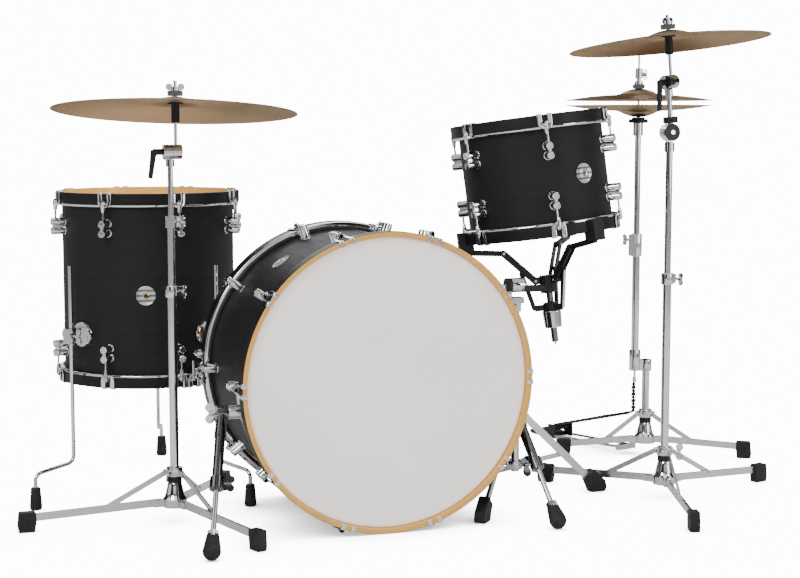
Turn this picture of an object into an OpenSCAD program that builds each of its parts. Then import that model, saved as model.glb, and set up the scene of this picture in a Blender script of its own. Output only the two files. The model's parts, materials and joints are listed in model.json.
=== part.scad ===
// Acoustic drum kit: bass drum, floor tom, rack tom in a basket stand, ride and crash
// cymbals and a hi-hat. Millimetres, +Z up. The bass drum's front head faces -Y, and the
// origin is the centre of the kit's footprint, on the floor.

/* [Bass drum] */
// Diameter of the bass drum shell
bass_d = 610; // [560:5:615]
// Depth of the bass drum shell
bass_depth = 402; // [380:2:410]
// Width of a bass drum hoop along the drum
bass_hoop_w = 38; // [34:1:42]
// Lugs on each side of the bass drum
bass_lug_count = 10; // [8, 10]

/* [Floor tom] */
// Diameter of the floor tom shell
floor_tom_d = 406; // [380:2:410]
// Depth of the floor tom shell
floor_tom_depth = 406; // [380:2:410]
// Height of the floor tom's upper rim
floor_tom_top = 718; // [700:1:740]
// Lugs on each side of the floor tom
floor_tom_lug_count = 8; // [6, 8]

/* [Rack tom] */
// Diameter of the rack tom shell
rack_tom_d = 330; // [310:2:334]
// Depth of the rack tom shell
rack_tom_depth = 229; // [210:1:240]
// Lugs on each side of the rack tom
rack_tom_lug_count = 6; // [6]

/* [Shells and hoops] */
// Thickness of a shell
shell_t = 7; // [5:0.5:9]
// Thickness of a wood hoop
hoop_t = 11; // [9:0.5:12]
// Width of a tom hoop along the drum
tom_hoop_w = 26; // [22:1:30]

/* [Cymbals] */
// Diameter of the ride cymbal
ride_d = 530; // [500:5:540]
// Diameter of the crash cymbal
crash_d = 457; // [400:1:460]
// Diameter of the hi-hat cymbals
hihat_d = 378; // [350:1:381]
// Thickness of a cymbal
cymbal_t = 1.5; // [1.2:0.1:2]

/* [Stand tubes] */
// Outer diameter of a lower tube
lower_tube_d = 20; // [19:0.5:21]
// Outer diameter of a middle tube
mid_tube_d = 16; // [15:0.5:16]
// Outer diameter of an upper tube
upper_tube_d = 12; // [11:0.5:12.5]

/* [Hidden] */
$fn = 64;

// Clearances: a sliding or turning shaft in its bore, and two faces that pass each other
fit_gap = 0.05;
face_gap = 0.4;

// The kit's footprint centre, from the centre of the bass drum
footprint = [197, 182, 0];

// Heads: the metal rim that shows between shell and hoop, and the film
flesh_h = 6;
film_t = 0.8;
bass_r = bass_d / 2;
floor_tom_r = floor_tom_d / 2;
rack_tom_r = rack_tom_d / 2;
// Gap between a shell and the inside of its hoop, and the hoops' outer radii
hoop_gap = [9, 4, 5.5];
bass_hoop_r = bass_r + hoop_gap[0] + hoop_t;
floor_tom_hoop_r = floor_tom_r + hoop_gap[1] + hoop_t;
rack_tom_hoop_r = rack_tom_r + hoop_gap[2] + hoop_t;
// How far a hoop's rim stands past the end of the shell
bass_rim = 14;
tom_rim = 21;

// Places of the drums
bass_axis_z = bass_hoop_r;
floor_tom_at = [-403, 433, floor_tom_top - tom_rim - floor_tom_depth / 2];
rack_tom_at = [423, 7, 755];
rack_tom_lean = [-3.9, -6.4, 0];
rack_tom_half = rack_tom_depth / 2 + tom_rim;

// Lugs: two posts on a web, and where the tension rod runs outside the hoop
post_d = 18;
post_gap = 21;
lug_out = 35;
bass_lug_out = 33;
lug_inset = 59;
rod_d = 5;
rod_out = 8;

// First lug's heading on each drum
bass_lug_start = 18;
floor_tom_lug_start = 188.5;
rack_tom_lug_start = 18.6;

// Floor tom legs: headings, radius of the rods and of the feet
leg_headings = [211, 300, 76];
leg_rod_d = 9.5;
leg_rod_r = floor_tom_hoop_r + 20;
leg_foot_r = 348;
leg_top = 551;
leg_bend = 93;
leg_bend_r = 18;
leg_drop = 12;
leg_bracket_z = 389;

// Spurs: hinge and foot of the left one, and of the right one before it is mirrored
left_spur = [[-345, -105, 265], [-412, -303, 19]];
right_spur = [[-325, -105, 245], [-355, -290, 19]];
spur_tube_d = 22;
spur_rod_d = 12;
spur_tube_share = 0.56;

// Flush-base stands: place, leg headings and foot radius
ride_at = [-420, 47];
crash_at = [714, -96];
hihat_at = [868, 367];
hihat_post_at = [900, 365];
tom_stand_at = [370, -10];
ride_legs = [179, 291, 58];
crash_legs = [128, 254, 15];
hihat_legs = [162, 332];
tom_stand_legs = [7, 229, 112];
ride_foot_r = 322;
crash_foot_r = 314;
hihat_foot_r = [217, 258];
tom_stand_foot_r = 218;
leg_bar_t = 7;
brace_t = 3;
brace_side = leg_bar_t / 2 + brace_t / 2 + 0.1;
flush_collar_z = 102;
tom_collar_z = 186;

// Ride stand heights: clamps, tilter, rim of the cymbal
ride_clamp_z = 512;
ride_clamp2_z = 664;
ride_tilter_z = 816;
ride_rim_z = 902;
ride_lean = [-5.2, 2.4, 0];

// Crash stand heights
crash_clamp_z = 518;
crash_joint_z = 857;
crash_tilter_z = 972;
crash_rim_z = 1057;
crash_lean = [-4.7, -3.6, 0];
crash_turn = 30;
crash_arm_lean = [0, -5, 0];

// Hi-hat heights
hihat_block_z = 228;
hihat_clamp_z = 560;
hihat_top_rim_z = 937;
hihat_bottom_rim_z = 923;
hihat_seat_z = 888;
hihat_rod_top = 1051;
hihat_rod_bottom = 204;
pull_rod_d = 6.4;

// Free end of the pull rod, turned to 6 mm above a short groove
rod_tip_d = 6;
rod_tip_h = 26;

// Pedal: heading of the heel from the toe, hinge distance and heights
pedal_heading = 105.3;
pedal_hinge = 300;
pedal_hinge_z = 30;
pedal_toe_z = 106;

// Basket: distances below the rack tom's lower rim, along its axis
basket_hub_z = -105;
basket_pivot_r = 30;
basket_elbow = [96, -32];
basket_collar_z = -168;
basket_knob_h = 40;
basket_tip_z = -257;
basket_arms = [167, 287, 47];
grip_r = rack_tom_hoop_r;
tilter_z = 506;
tom_tilter_at = [371, -10];

// ---------- general shapes ----------

module kit() translate(-footprint) children();

module around(heading, r, z = 0) rotate([0, 0, heading]) translate([r, 0, z]) children();

module tube(d, hole, h) difference() {
    cylinder(d = d, h = h);
    translate([0, 0, -1]) cylinder(d = hole, h = h + 2);
}

// Round bar between two points
module rod_between(a, b, d) {
    run = b - a;
    translate(a) rotate([0, acos(run[2] / norm(run)), atan2(run[1], run[0])])
        cylinder(d = d, h = norm(run), $fn = 32);
}

// Flat plate on edge, drawn as a side view in X and Z
module side_plate(points, t) rotate([90, 0, 0]) linear_extrude(t, center = true) polygon(points);

// Flat bar on edge between two points of the X-Z plane, with round ends
module flat_bar(a, b, w, t) {
    run = b - a;
    translate([a[0], 0, a[1]]) rotate([0, -atan2(run[1], run[0]), 0]) rotate([90, 0, 0])
        linear_extrude(t, center = true) {
            translate([0, -w / 2]) square([norm(run), w]);
            circle(d = w);
            translate([norm(run), 0]) circle(d = w);
        }
}

// Wing bolt along +X: shank, hub and two wings
module wing_bolt(shank = 14, wing = 13) {
    rotate([0, 90, 0]) cylinder(d = 6, h = shank, $fn = 32);
    translate([shank - 0.5, 0, 0]) rotate([0, 90, 0]) cylinder(d1 = 11, d2 = 9, h = 9, $fn = 32);
    for (side = [-1, 1])
        translate([shank + 6, 0, side * wing * 0.62]) rotate([90, 0, 0])
            cylinder(d = wing, h = 3.2, center = true, $fn = 32);
}

// ---------- drums, each about its own centre with its axis along Z ----------

// Shell with bearing edges bevelled to the inside
module shell(r, depth, vent) difference() {
    rotate_extrude($fn = 128) polygon([
        [r - shell_t, -depth / 2 + shell_t - 2], [r - 2, -depth / 2], [r, -depth / 2 + 1],
        [r, depth / 2 - 1], [r - 2, depth / 2], [r - shell_t, depth / 2 - shell_t + 2]
    ]);
    rotate([0, 0, vent[0]]) translate([r - 20, 0, vent[1]]) rotate([0, 90, 0])
        cylinder(d = 11, h = 40, $fn = 32);
}

// Wood hoop, its rim on top at z = 0
module hoop(r, w) rotate_extrude($fn = 128) polygon([
    [r - hoop_t, -w], [r, -w], [r, -1.5], [r - 1.5, 0], [r - hoop_t + 1.5, 0], [r - hoop_t, -1.5]
]);

module both_hoops(r, half, w) {
    translate([0, 0, half]) hoop(r, w);
    mirror([0, 0, 1]) translate([0, 0, half]) hoop(r, w);
}

// Drumhead: a film over the bearing edge, its skirt down into the metal rim under the hoop
module head(r, hoop_r, w, rim) {
    skirt = rim - w - flesh_h / 2;
    color("ivory") rotate_extrude($fn = 128) polygon([
        [0, 0], [r - 1.8, 0], [r + 0.5, -0.9], [r + 0.5, skirt],
        [r + 1.3, skirt], [r + 1.3, -0.5], [r - 1.4, film_t], [0, film_t]
    ]);
    color("silver") translate([0, 0, rim - w - flesh_h]) tube(2 * hoop_r - 5, 2 * r + 0.8, flesh_h);
}

module both_heads(r, depth, hoop_r, w, rim) {
    translate([0, 0, depth / 2]) head(r, hoop_r, w, rim);
    mirror([0, 0, 1]) translate([0, 0, depth / 2]) head(r, hoop_r, w, rim);
}

// Turret lug: two posts that stand out from the shell, one above the other, on a web
module lug(length) {
    for (side = [-1, 1]) translate([0, 0, side * post_gap / 2]) rotate([0, 90, 0]) {
        cylinder(d = post_d, h = length - 1.5, $fn = 32);
        translate([0, 0, length - 1.5]) cylinder(d1 = post_d, d2 = post_d - 3, h = 1.5, $fn = 32);
    }
    translate([0, -4, -post_gap / 2]) cube([length - 4, 8, post_gap]);
}

// Claw hook: two prongs over the hoop and a barrel for the tension rod
module claw(r, w) {
    outer = r + 0.3;
    inner = r - hoop_t - 1;
    for (side = [-12, 12]) translate([0, side, 0]) side_plate([
        [outer, -w - 2], [outer, 0.3], [inner, 0.3], [inner, -6], [inner - 2.4, -6],
        [inner - 2.4, 2.7], [outer + 1, 2.7], [outer + 2.6, 1], [outer + 2.6, -w - 2]
    ], 9);
    translate([outer, -16.5, -w - 4]) cube([2.6, 33, 7]);
    translate([r + rod_out, 0, -w - 16]) cylinder(d1 = 9, d2 = 12, h = 20, $fn = 32);
    translate([outer + 1, -4, -w - 4]) cube([rod_out - 3, 8, 7]);
}

// Tension rod from the claw into the lug's first post
module tension_rod(r, w, lug_z) {
    translate([r + rod_out, 0, lug_z]) cylinder(d = rod_d, h = -w - lug_z, $fn = 32);
    translate([r + rod_out, 0, -w + 4]) cylinder(d = 9, h = 7, $fn = 32);
}

// Repeats its children at each lug of both ends; z = 0 is the rim
module at_lugs(half, count, start) {
    for (end = [0, 1]) mirror([0, 0, end]) translate([0, 0, half])
        for (i = [0 : count - 1]) rotate([0, 0, start + i * 360 / count]) children();
}

// Round badge with a vent eyelet, on the shell's outside
module badge(r, heading, z) rotate([0, 0, heading]) translate([r, 0, z]) rotate([0, 90, 0]) {
    tube(44, 14, 1.6);
    tube(15, 9, 3.2);
}

module bass() kit() translate([0, 0, bass_axis_z]) rotate([90, 0, 0]) children();
module floor_tom() kit() translate(floor_tom_at) children();
module rack_tom() kit() translate(rack_tom_at) rotate(rack_tom_lean) children();

bass_half = bass_depth / 2 + bass_rim;
floor_tom_half = floor_tom_depth / 2 + tom_rim;
bass_lug_z = -85;
tom_lug_z = -tom_rim - lug_inset;
bass_vent = [126, -30];
floor_tom_vent = [258, -10];
rack_tom_vent = [288, -4];

module bass_shell() color("#1b1a1b") bass() shell(bass_r, bass_depth, bass_vent);
module bass_hoops() color("#c9973f") bass() both_hoops(bass_hoop_r, bass_half, bass_hoop_w);
module bass_heads() bass() both_heads(bass_r, bass_depth, bass_hoop_r, bass_hoop_w, bass_rim);
module floor_tom_shell() color("#1b1a1b") floor_tom()
    shell(floor_tom_r, floor_tom_depth, floor_tom_vent);
module floor_tom_hoops() color("#2a2726") floor_tom()
    both_hoops(floor_tom_hoop_r, floor_tom_half, tom_hoop_w);
module floor_tom_heads() floor_tom()
    both_heads(floor_tom_r, floor_tom_depth, floor_tom_hoop_r, tom_hoop_w, tom_rim);
module rack_tom_shell() color("#1b1a1b") rack_tom()
    shell(rack_tom_r, rack_tom_depth, rack_tom_vent);
module rack_tom_hoops() color("#2a2726") rack_tom()
    both_hoops(rack_tom_hoop_r, rack_tom_half, tom_hoop_w);
module rack_tom_heads() rack_tom()
    both_heads(rack_tom_r, rack_tom_depth, rack_tom_hoop_r, tom_hoop_w, tom_rim);

module at_bass_lugs() bass() at_lugs(bass_half, bass_lug_count, 90 + bass_lug_start) children();
module at_floor_tom_lugs() floor_tom()
    at_lugs(floor_tom_half, floor_tom_lug_count, floor_tom_lug_start) children();
module at_rack_tom_lugs() rack_tom()
    at_lugs(rack_tom_half, rack_tom_lug_count, rack_tom_lug_start) children();

module drum_lugs() color("silver") {
    at_bass_lugs() translate([bass_r, 0, bass_lug_z]) lug(bass_lug_out);
    at_floor_tom_lugs() translate([floor_tom_r, 0, tom_lug_z]) lug(lug_out);
}
module hoop_claws() color("silver") {
    at_bass_lugs() claw(bass_hoop_r, bass_hoop_w);
    at_floor_tom_lugs() claw(floor_tom_hoop_r, tom_hoop_w);
}
module tension_rods() color("silver") {
    at_bass_lugs() tension_rod(bass_hoop_r, bass_hoop_w, bass_lug_z + post_gap / 2);
    at_floor_tom_lugs() tension_rod(floor_tom_hoop_r, tom_hoop_w, tom_lug_z + post_gap / 2);
}
module shell_badges() color("gainsboro") {
    bass() badge(bass_r, bass_vent[0], bass_vent[1]);
    floor_tom() badge(floor_tom_r, floor_tom_vent[0], floor_tom_vent[1]);
}
module rack_tom_lugs() color("silver") at_rack_tom_lugs()
    translate([rack_tom_r, 0, tom_lug_z]) lug(lug_out);
module rack_tom_claws() color("silver") at_rack_tom_lugs() claw(rack_tom_hoop_r, tom_hoop_w);
module rack_tom_tension_rods() color("silver") at_rack_tom_lugs()
    tension_rod(rack_tom_hoop_r, tom_hoop_w, tom_lug_z + post_gap / 2);
module rack_tom_badge() color("gainsboro") rack_tom()
    badge(rack_tom_r, rack_tom_vent[0], rack_tom_vent[1]);

// ---------- bass drum spurs ----------

spur_barrel_w = 24;
spur_pin_d = 8;

// Curved plate on the shell, boss, hinge bolt and wing nut
module spur_bracket(hinge) {
    boss_x = hinge[0] + spur_barrel_w / 2 + face_gap;
    translate([0, hinge[1], bass_axis_z]) intersection() {
        rotate([90, 0, 0]) translate([0, 0, -24]) tube(2 * bass_r + 10, 2 * bass_r, 48);
        translate([-bass_r - 20, -40, -130]) cube([90, 80, 110]);
    }
    translate([0, hinge[1], hinge[2]]) difference() {
        translate([boss_x, 0, 0]) rotate([0, 90, 0]) cylinder(d = 30, h = 44);
        translate([0, 0, bass_axis_z - hinge[2]]) rotate([90, 0, 0])
            cylinder(r = bass_r + 4, h = 80, center = true, $fn = 128);
    }
    translate(hinge) rotate([0, 90, 0]) translate([0, 0, -spur_barrel_w / 2 - 8])
        cylinder(d = spur_pin_d, h = spur_barrel_w + 14, $fn = 32);
    translate(hinge - [spur_barrel_w / 2 + 8, 0, 0]) mirror([1, 0, 0]) wing_bolt(0.5, 20);
}

module spur_brackets() color("silver") kit() {
    spur_bracket(left_spur[0]);
    mirror([1, 0, 0]) spur_bracket(right_spur[0]);
}

// Along a spur: z = 0 at the hinge, +Z towards the foot
module along_spur(spur) {
    run = spur[1] - spur[0];
    translate(spur[0]) rotate([0, 180 - acos(-run[2] / norm(run)), atan2(run[1], run[0])]) children();
}

module spur_tube(spur) {
    end = spur_tube_share * norm(spur[1] - spur[0]);
    difference() {
        union() {
            translate(spur[0]) rotate([0, 90, 0])
                cylinder(d = 30, h = spur_barrel_w, center = true);
            along_spur(spur) translate([0, 0, 8]) cylinder(d1 = 22, d2 = 26, h = 52);
            along_spur(spur) translate([0, 0, 55]) cylinder(d = spur_tube_d, h = end - 55);
            along_spur(spur) translate([0, 0, end - 24]) cylinder(d = 30, h = 26);
        }
        translate(spur[0]) rotate([0, 90, 0])
            cylinder(d = spur_pin_d + 2 * fit_gap, h = spur_barrel_w + 2, center = true, $fn = 32);
        along_spur(spur) translate([0, 0, 62]) cylinder(d = spur_rod_d + 2 * fit_gap, h = end);
    }
    along_spur(spur) translate([0, 15, end - 11]) rotate([0, 0, 90]) wing_bolt(8, 16);
}

// Rod, hex collar and rubber foot
module spur_rod(spur) {
    length = norm(spur[1] - spur[0]);
    end = spur_tube_share * length;
    along_spur(spur) translate([0, 0, end - 60]) cylinder(d = spur_rod_d, h = length - end + 40);
    along_spur(spur) translate([0, 0, length - 44]) cylinder(d = 26, h = 8, $fn = 6);
    color("#222222") along_spur(spur) rotate_extrude() polygon(concat(
        [[0, length - 36], [13, length - 36], [18, length - 8]],
        [for (a = [10 : -10 : -90]) [19 * cos(a), length - 19 * sin(a)]]
    ));
}

module spur_tube_left() color("#55565a") kit() spur_tube(left_spur);
module spur_tube_right() color("#55565a") kit() mirror([1, 0, 0]) spur_tube(right_spur);
module spur_rod_left() color("silver") kit() spur_rod(left_spur);
module spur_rod_right() color("silver") kit() mirror([1, 0, 0]) spur_rod(right_spur);

// ---------- floor tom legs ----------

// Block with the leg's bore, round dish on the shell and a wing bolt
module floor_tom_leg_bracket(heading) around(heading, 0, leg_bracket_z) {
    difference() {
        union() {
            translate([floor_tom_r, 0, 0]) rotate([0, 90, 0]) cylinder(d1 = 62, d2 = 56, h = 7);
            translate([floor_tom_r + 6, -13, -17]) cube([leg_rod_r - floor_tom_r + 8, 26, 34]);
        }
        translate([leg_rod_r, 0, -40]) cylinder(d = leg_rod_d + 2 * fit_gap, h = 80, $fn = 32);
    }
    translate([leg_rod_r, 13, 0]) rotate([0, 0, 90]) wing_bolt(8, 16);
}

module floor_tom_leg_brackets() color("silver") kit() translate([floor_tom_at[0], floor_tom_at[1], 0])
    for (heading = leg_headings) floor_tom_leg_bracket(heading);

// Bend of a leg in the X-Z plane about a centre, a little slimmer and let into the straights
module leg_elbow(centre, start, turn) translate([centre[0], 0, centre[1]]) rotate([90, 0, 0])
    rotate([0, 0, start - 1.5]) rotate_extrude(angle = turn + 3) translate([leg_bend_r, 0])
        circle(d = leg_rod_d - 0.2, $fn = 32);

// Rod that drops, bends outwards, drops again and ends in a rubber foot
module floor_tom_leg(heading) kit() translate([floor_tom_at[0], floor_tom_at[1], 0])
    around(heading, 0) {
        turn = 90 - atan2(leg_drop, leg_foot_r - leg_rod_r);
        reach = leg_bend_r * tan(turn / 2);
        upper = [leg_rod_r + leg_bend_r, leg_bend + reach];
        lower = [leg_foot_r - leg_bend_r, leg_bend - leg_drop - reach];
        color("silver") {
            rod_between([leg_rod_r, 0, upper[1]], [leg_rod_r, 0, leg_top], leg_rod_d);
            leg_elbow(upper, 180, turn);
            rod_between([upper[0] - leg_bend_r * cos(turn), 0, upper[1] - leg_bend_r * sin(turn)],
                [lower[0] + leg_bend_r * cos(turn), 0, lower[1] + leg_bend_r * sin(turn)], leg_rod_d);
            leg_elbow(lower, 0, turn);
            rod_between([leg_foot_r, 0, 48], [leg_foot_r, 0, lower[1]], leg_rod_d);
        }
        color("#222222") translate([leg_foot_r, 0, 0]) rotate_extrude() polygon(
            [[0, 0], [11, 0], [14, 3], [14, 10], [11, 50], [9, 52], [0, 52]]);
    }

module floor_tom_leg_left() floor_tom_leg(leg_headings[0]);
module floor_tom_leg_right() floor_tom_leg(leg_headings[1]);
module floor_tom_leg_rear() floor_tom_leg(leg_headings[2]);

// ---------- tripods ----------

module at_stand(place) kit() translate([place[0], place[1], 0]) children();

// Conical hub with a lug for each leg
module flush_hub(headings) difference() {
    union() {
        rotate_extrude() polygon([[0, 33], [26, 33], [27, 52], [22, 58], [15, 88], [0, 88]]);
        for (heading = headings) around(heading, 0) translate([14, -9, 35]) cube([35, 18, 15]);
    }
    translate([0, 0, 40]) cylinder(d = lower_tube_d, h = 60);
    for (heading = headings) around(heading, 0) translate([30, -leg_bar_t / 2, 30])
        cube([30, leg_bar_t, 30]);
}

// Leg on edge from the hub to its foot, with the hub's rivet
module flush_leg(heading, foot_r) around(heading, 0) {
    side_plate([[31, 36], [31, 53], [foot_r - 10, 39], [foot_r - 10, 22]], leg_bar_t);
    translate([40, 0, 43]) rotate([90, 0, 0]) cylinder(d = 6, h = 22, center = true, $fn = 32);
}

module boot(heading, foot_r) around(heading, 0) side_plate([
    [foot_r - 20, 18], [foot_r - 17, 0], [foot_r + 17, 0], [foot_r + 20, 12],
    [foot_r + 17, 44], [foot_r - 17, 44], [foot_r - 20, 40]
], 22);

// Strut beside the leg, from the collar down to the leg's middle
module flush_brace(heading, foot_r, side = 1, top = flush_collar_z + 8) around(heading, 0) {
    low = [0.46 * foot_r, 44];
    translate([0, side * brace_side, 0]) flat_bar([24, top], low, 12, brace_t);
    translate([low[0], 0, low[1]]) rotate([90, 0, 0]) cylinder(d = 6, h = 14, center = true, $fn = 32);
}

// Collar on the tube with an ear for each strut; the black ring below it
module stand_collar(headings, z) {
    color("silver") translate([0, 0, z]) difference() {
        union() {
            cylinder(d = lower_tube_d + 16, h = 20);
            for (heading = headings) around(heading, 0) translate([12, -3, 2]) cube([14, 6, 14]);
        }
        translate([0, 0, -1]) cylinder(d = lower_tube_d, h = 30);
    }
    color("#222222") translate([0, 0, z - 13]) tube(lower_tube_d + 12, lower_tube_d, 12);
}

// Basket stand: steep legs hinged at the upper collar, braces out from the lower hub
module tom_hub(headings) difference() {
    union() {
        translate([0, 0, 76]) cylinder(d = 36, h = 20);
        for (heading = headings) around(heading, 0) translate([12, -3, 78]) cube([20, 6, 14]);
    }
    translate([0, 0, 70]) cylinder(d = lower_tube_d, h = 40);
}

module tom_leg(heading) around(heading, 0) {
    top = [27, tom_collar_z + 10];
    flat_bar(top, [tom_stand_foot_r - 12, 30], 17, leg_bar_t);
    translate([top[0], 0, top[1]]) rotate([90, 0, 0])
        cylinder(d = 6, h = 20, center = true, $fn = 32);
}

// Upper collar of the basket stand: a clevis for each leg
module tom_collar(headings) {
    color("silver") translate([0, 0, tom_collar_z]) difference() {
        union() {
            cylinder(d = 36, h = 22);
            for (heading = headings) around(heading, 0) translate([12, -8, 3]) cube([22, 16, 14]);
        }
        translate([0, 0, -1]) cylinder(d = lower_tube_d, h = 30);
        for (heading = headings) around(heading, 0) translate([16, -leg_bar_t / 2, -5])
            cube([30, leg_bar_t, 40]);
    }
}

module tom_boot(heading) around(heading, tom_stand_foot_r) side_plate([
    [-28, 34], [-12, 0], [24, 0], [30, 10], [26, 26], [-6, 56]
], 26);

module tom_brace(heading) around(heading, 0) translate([0, brace_side, 0])
    flat_bar([26, 85], [0.62 * tom_stand_foot_r, 98], 12, brace_t);

module stand_hubs() color("silver") {
    at_stand(ride_at) flush_hub(ride_legs);
    at_stand(crash_at) flush_hub(crash_legs);
    at_stand(hihat_post_at) flush_hub(hihat_legs);
    at_stand(tom_stand_at) tom_hub(tom_stand_legs);
}
module stand_legs() color("gainsboro") {
    at_stand(ride_at) for (a = ride_legs) flush_leg(a, ride_foot_r);
    at_stand(crash_at) for (a = crash_legs) flush_leg(a, crash_foot_r);
    at_stand(hihat_post_at) for (i = [0, 1]) flush_leg(hihat_legs[i], hihat_foot_r[i]);
    at_stand(tom_stand_at) for (a = tom_stand_legs) tom_leg(a);
}
module stand_braces() color("gainsboro") {
    at_stand(ride_at) for (a = ride_legs) flush_brace(a, ride_foot_r);
    at_stand(crash_at) for (a = crash_legs) flush_brace(a, crash_foot_r);
    at_stand(hihat_post_at) for (i = [0, 1])
        flush_brace(hihat_legs[i], hihat_foot_r[i], -1, flush_collar_z + 3);
    at_stand(tom_stand_at) for (a = tom_stand_legs) tom_brace(a);
}
module stand_feet() color("#222222") {
    at_stand(ride_at) for (a = ride_legs) boot(a, ride_foot_r);
    at_stand(crash_at) for (a = crash_legs) boot(a, crash_foot_r);
    at_stand(hihat_post_at) for (i = [0, 1]) boot(hihat_legs[i], hihat_foot_r[i]);
    at_stand(tom_stand_at) for (a = tom_stand_legs) tom_boot(a);
}
module stand_collars() {
    at_stand(ride_at) stand_collar(ride_legs, flush_collar_z);
    at_stand(crash_at) stand_collar(crash_legs, flush_collar_z);
    at_stand(hihat_post_at) stand_collar(hihat_legs, flush_collar_z);
    at_stand(tom_stand_at) tom_collar(tom_stand_legs);
}

// ---------- tubes and clamps ----------

lower_bore = mid_tube_d + 2 * fit_gap;
mid_bore = upper_tube_d + 2 * fit_gap;
hihat_upper_bore = 7;
hihat_post_top = hihat_block_z + 26;

module stand_lower_tubes() color("silver") {
    at_stand(ride_at) translate([0, 0, 40]) tube(lower_tube_d, lower_bore, ride_clamp_z - 40);
    at_stand(crash_at) translate([0, 0, 40]) tube(lower_tube_d, lower_bore, crash_clamp_z - 40);
    at_stand(tom_stand_at) translate([0, 0, 70]) tube(lower_tube_d, lower_bore, 230);
    at_stand(hihat_post_at) translate([0, 0, 40]) cylinder(d = lower_tube_d, h = hihat_post_top - 42);
    at_stand(hihat_at) translate([0, 0, hihat_block_z + 6])
        tube(lower_tube_d, lower_bore, hihat_clamp_z - hihat_block_z - 6);
}

// Clamp on the top of a tube: a seat on the outer tube, a running bore for the inner one
module clamp_body(outer, h) {
    translate([0, 0, -h / 2]) cylinder(d = outer + 9, h = h);
    translate([0, -7, -h / 2 + 2]) cube([outer / 2 + 13, 14, h - 4]);
}
module clamp(outer, inner, h = 26) difference() {
    clamp_body(outer, h);
    translate([0, 0, -h]) cylinder(d = outer, h = h);
    translate([0, 0, -1]) cylinder(d = inner + 2 * fit_gap, h = h);
}

// Where each clamp's bolt points
clamp_turn = 20;

module tube_clamps() color("silver") {
    at_stand(ride_at) translate([0, 0, ride_clamp_z]) rotate([0, 0, clamp_turn])
        clamp(lower_tube_d, mid_tube_d);
    at_stand(crash_at) translate([0, 0, crash_clamp_z]) rotate([0, 0, clamp_turn])
        clamp(lower_tube_d, mid_tube_d);
    at_stand(tom_stand_at) translate([0, 0, 300]) rotate([0, 0, clamp_turn])
        clamp(lower_tube_d, mid_tube_d);
    at_stand(hihat_at) translate([0, 0, hihat_clamp_z]) rotate([0, 0, 180 + clamp_turn])
        clamp(lower_tube_d, mid_tube_d, 60);
}

module clamp_bolt(outer, turn, h = 0) rotate([0, 0, turn]) translate([outer / 2 + 6, -7, h])
    rotate([0, 0, -90]) wing_bolt();

module wing_bolts() color("silver") {
    at_stand(ride_at) {
        translate([0, 0, ride_clamp_z]) clamp_bolt(lower_tube_d, clamp_turn);
        translate([0, 0, flush_collar_z + 10]) around(235, 18) wing_bolt(12, 15);
    }
    at_stand(crash_at) {
        translate([0, 0, crash_clamp_z]) clamp_bolt(lower_tube_d, clamp_turn);
        translate([0, 0, flush_collar_z + 10]) around(318, 18) wing_bolt(12, 18);
    }
    at_stand(hihat_at) translate([0, 0, hihat_clamp_z + 13]) clamp_bolt(lower_tube_d, 180 + clamp_turn);
    at_stand(hihat_post_at) translate([0, 0, flush_collar_z + 10]) around(60, 18) wing_bolt(12, 15);
    at_stand(tom_stand_at) {
        translate([0, 0, 300]) clamp_bolt(lower_tube_d, clamp_turn);
        translate([0, 0, 86]) around(300, 18) wing_bolt(12, 22);
    }
}

// Tube of a basket stand: the leaning head is above it, a fork for the tilter on top
tilter_hub_d = 34;
tilter_hub_w = 30;

module tom_stand_tube() color("silver") {
    at_stand(tom_stand_at) translate([0, 0, 150]) cylinder(d = mid_tube_d, h = tilter_z - 204);
    at_stand(tom_stand_at) translate([0, 0, tilter_z - 61]) cylinder(d = 24, h = 22);
    kit() difference() {
        translate([tom_tilter_at[0] - tilter_hub_w / 2, tom_tilter_at[1] - 12, tilter_z - 42])
            cube([30, 24, 14]);
        translate([0, tom_tilter_at[1], tilter_z]) rotate([0, 90, 0])
            cylinder(d = tilter_hub_d + 2 * face_gap, h = 900);
    }
    kit() translate([tom_tilter_at[0], tom_tilter_at[1], tilter_z]) rotate([0, 90, 0]) {
        translate([0, 0, -tilter_hub_w / 2 - 12]) cylinder(d = tilter_hub_d, h = 12);
        translate([0, 0, -tilter_hub_w / 2 - 1]) cylinder(d = 8, h = tilter_hub_w + 10, $fn = 32);
    }
    kit() translate([tom_tilter_at[0] - tilter_hub_w / 2 - 12, tom_tilter_at[1] - 10, tilter_z - 40])
        cube([12.2, 20, 34]);
}

// ---------- basket ----------

module basket() kit() translate(rack_tom_at) rotate(rack_tom_lean)
    translate([0, 0, -rack_tom_half]) children();

post_r = 8;
arm_gap = 8.6;
arm_plate_t = 4;
pivot_d = 6;

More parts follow.
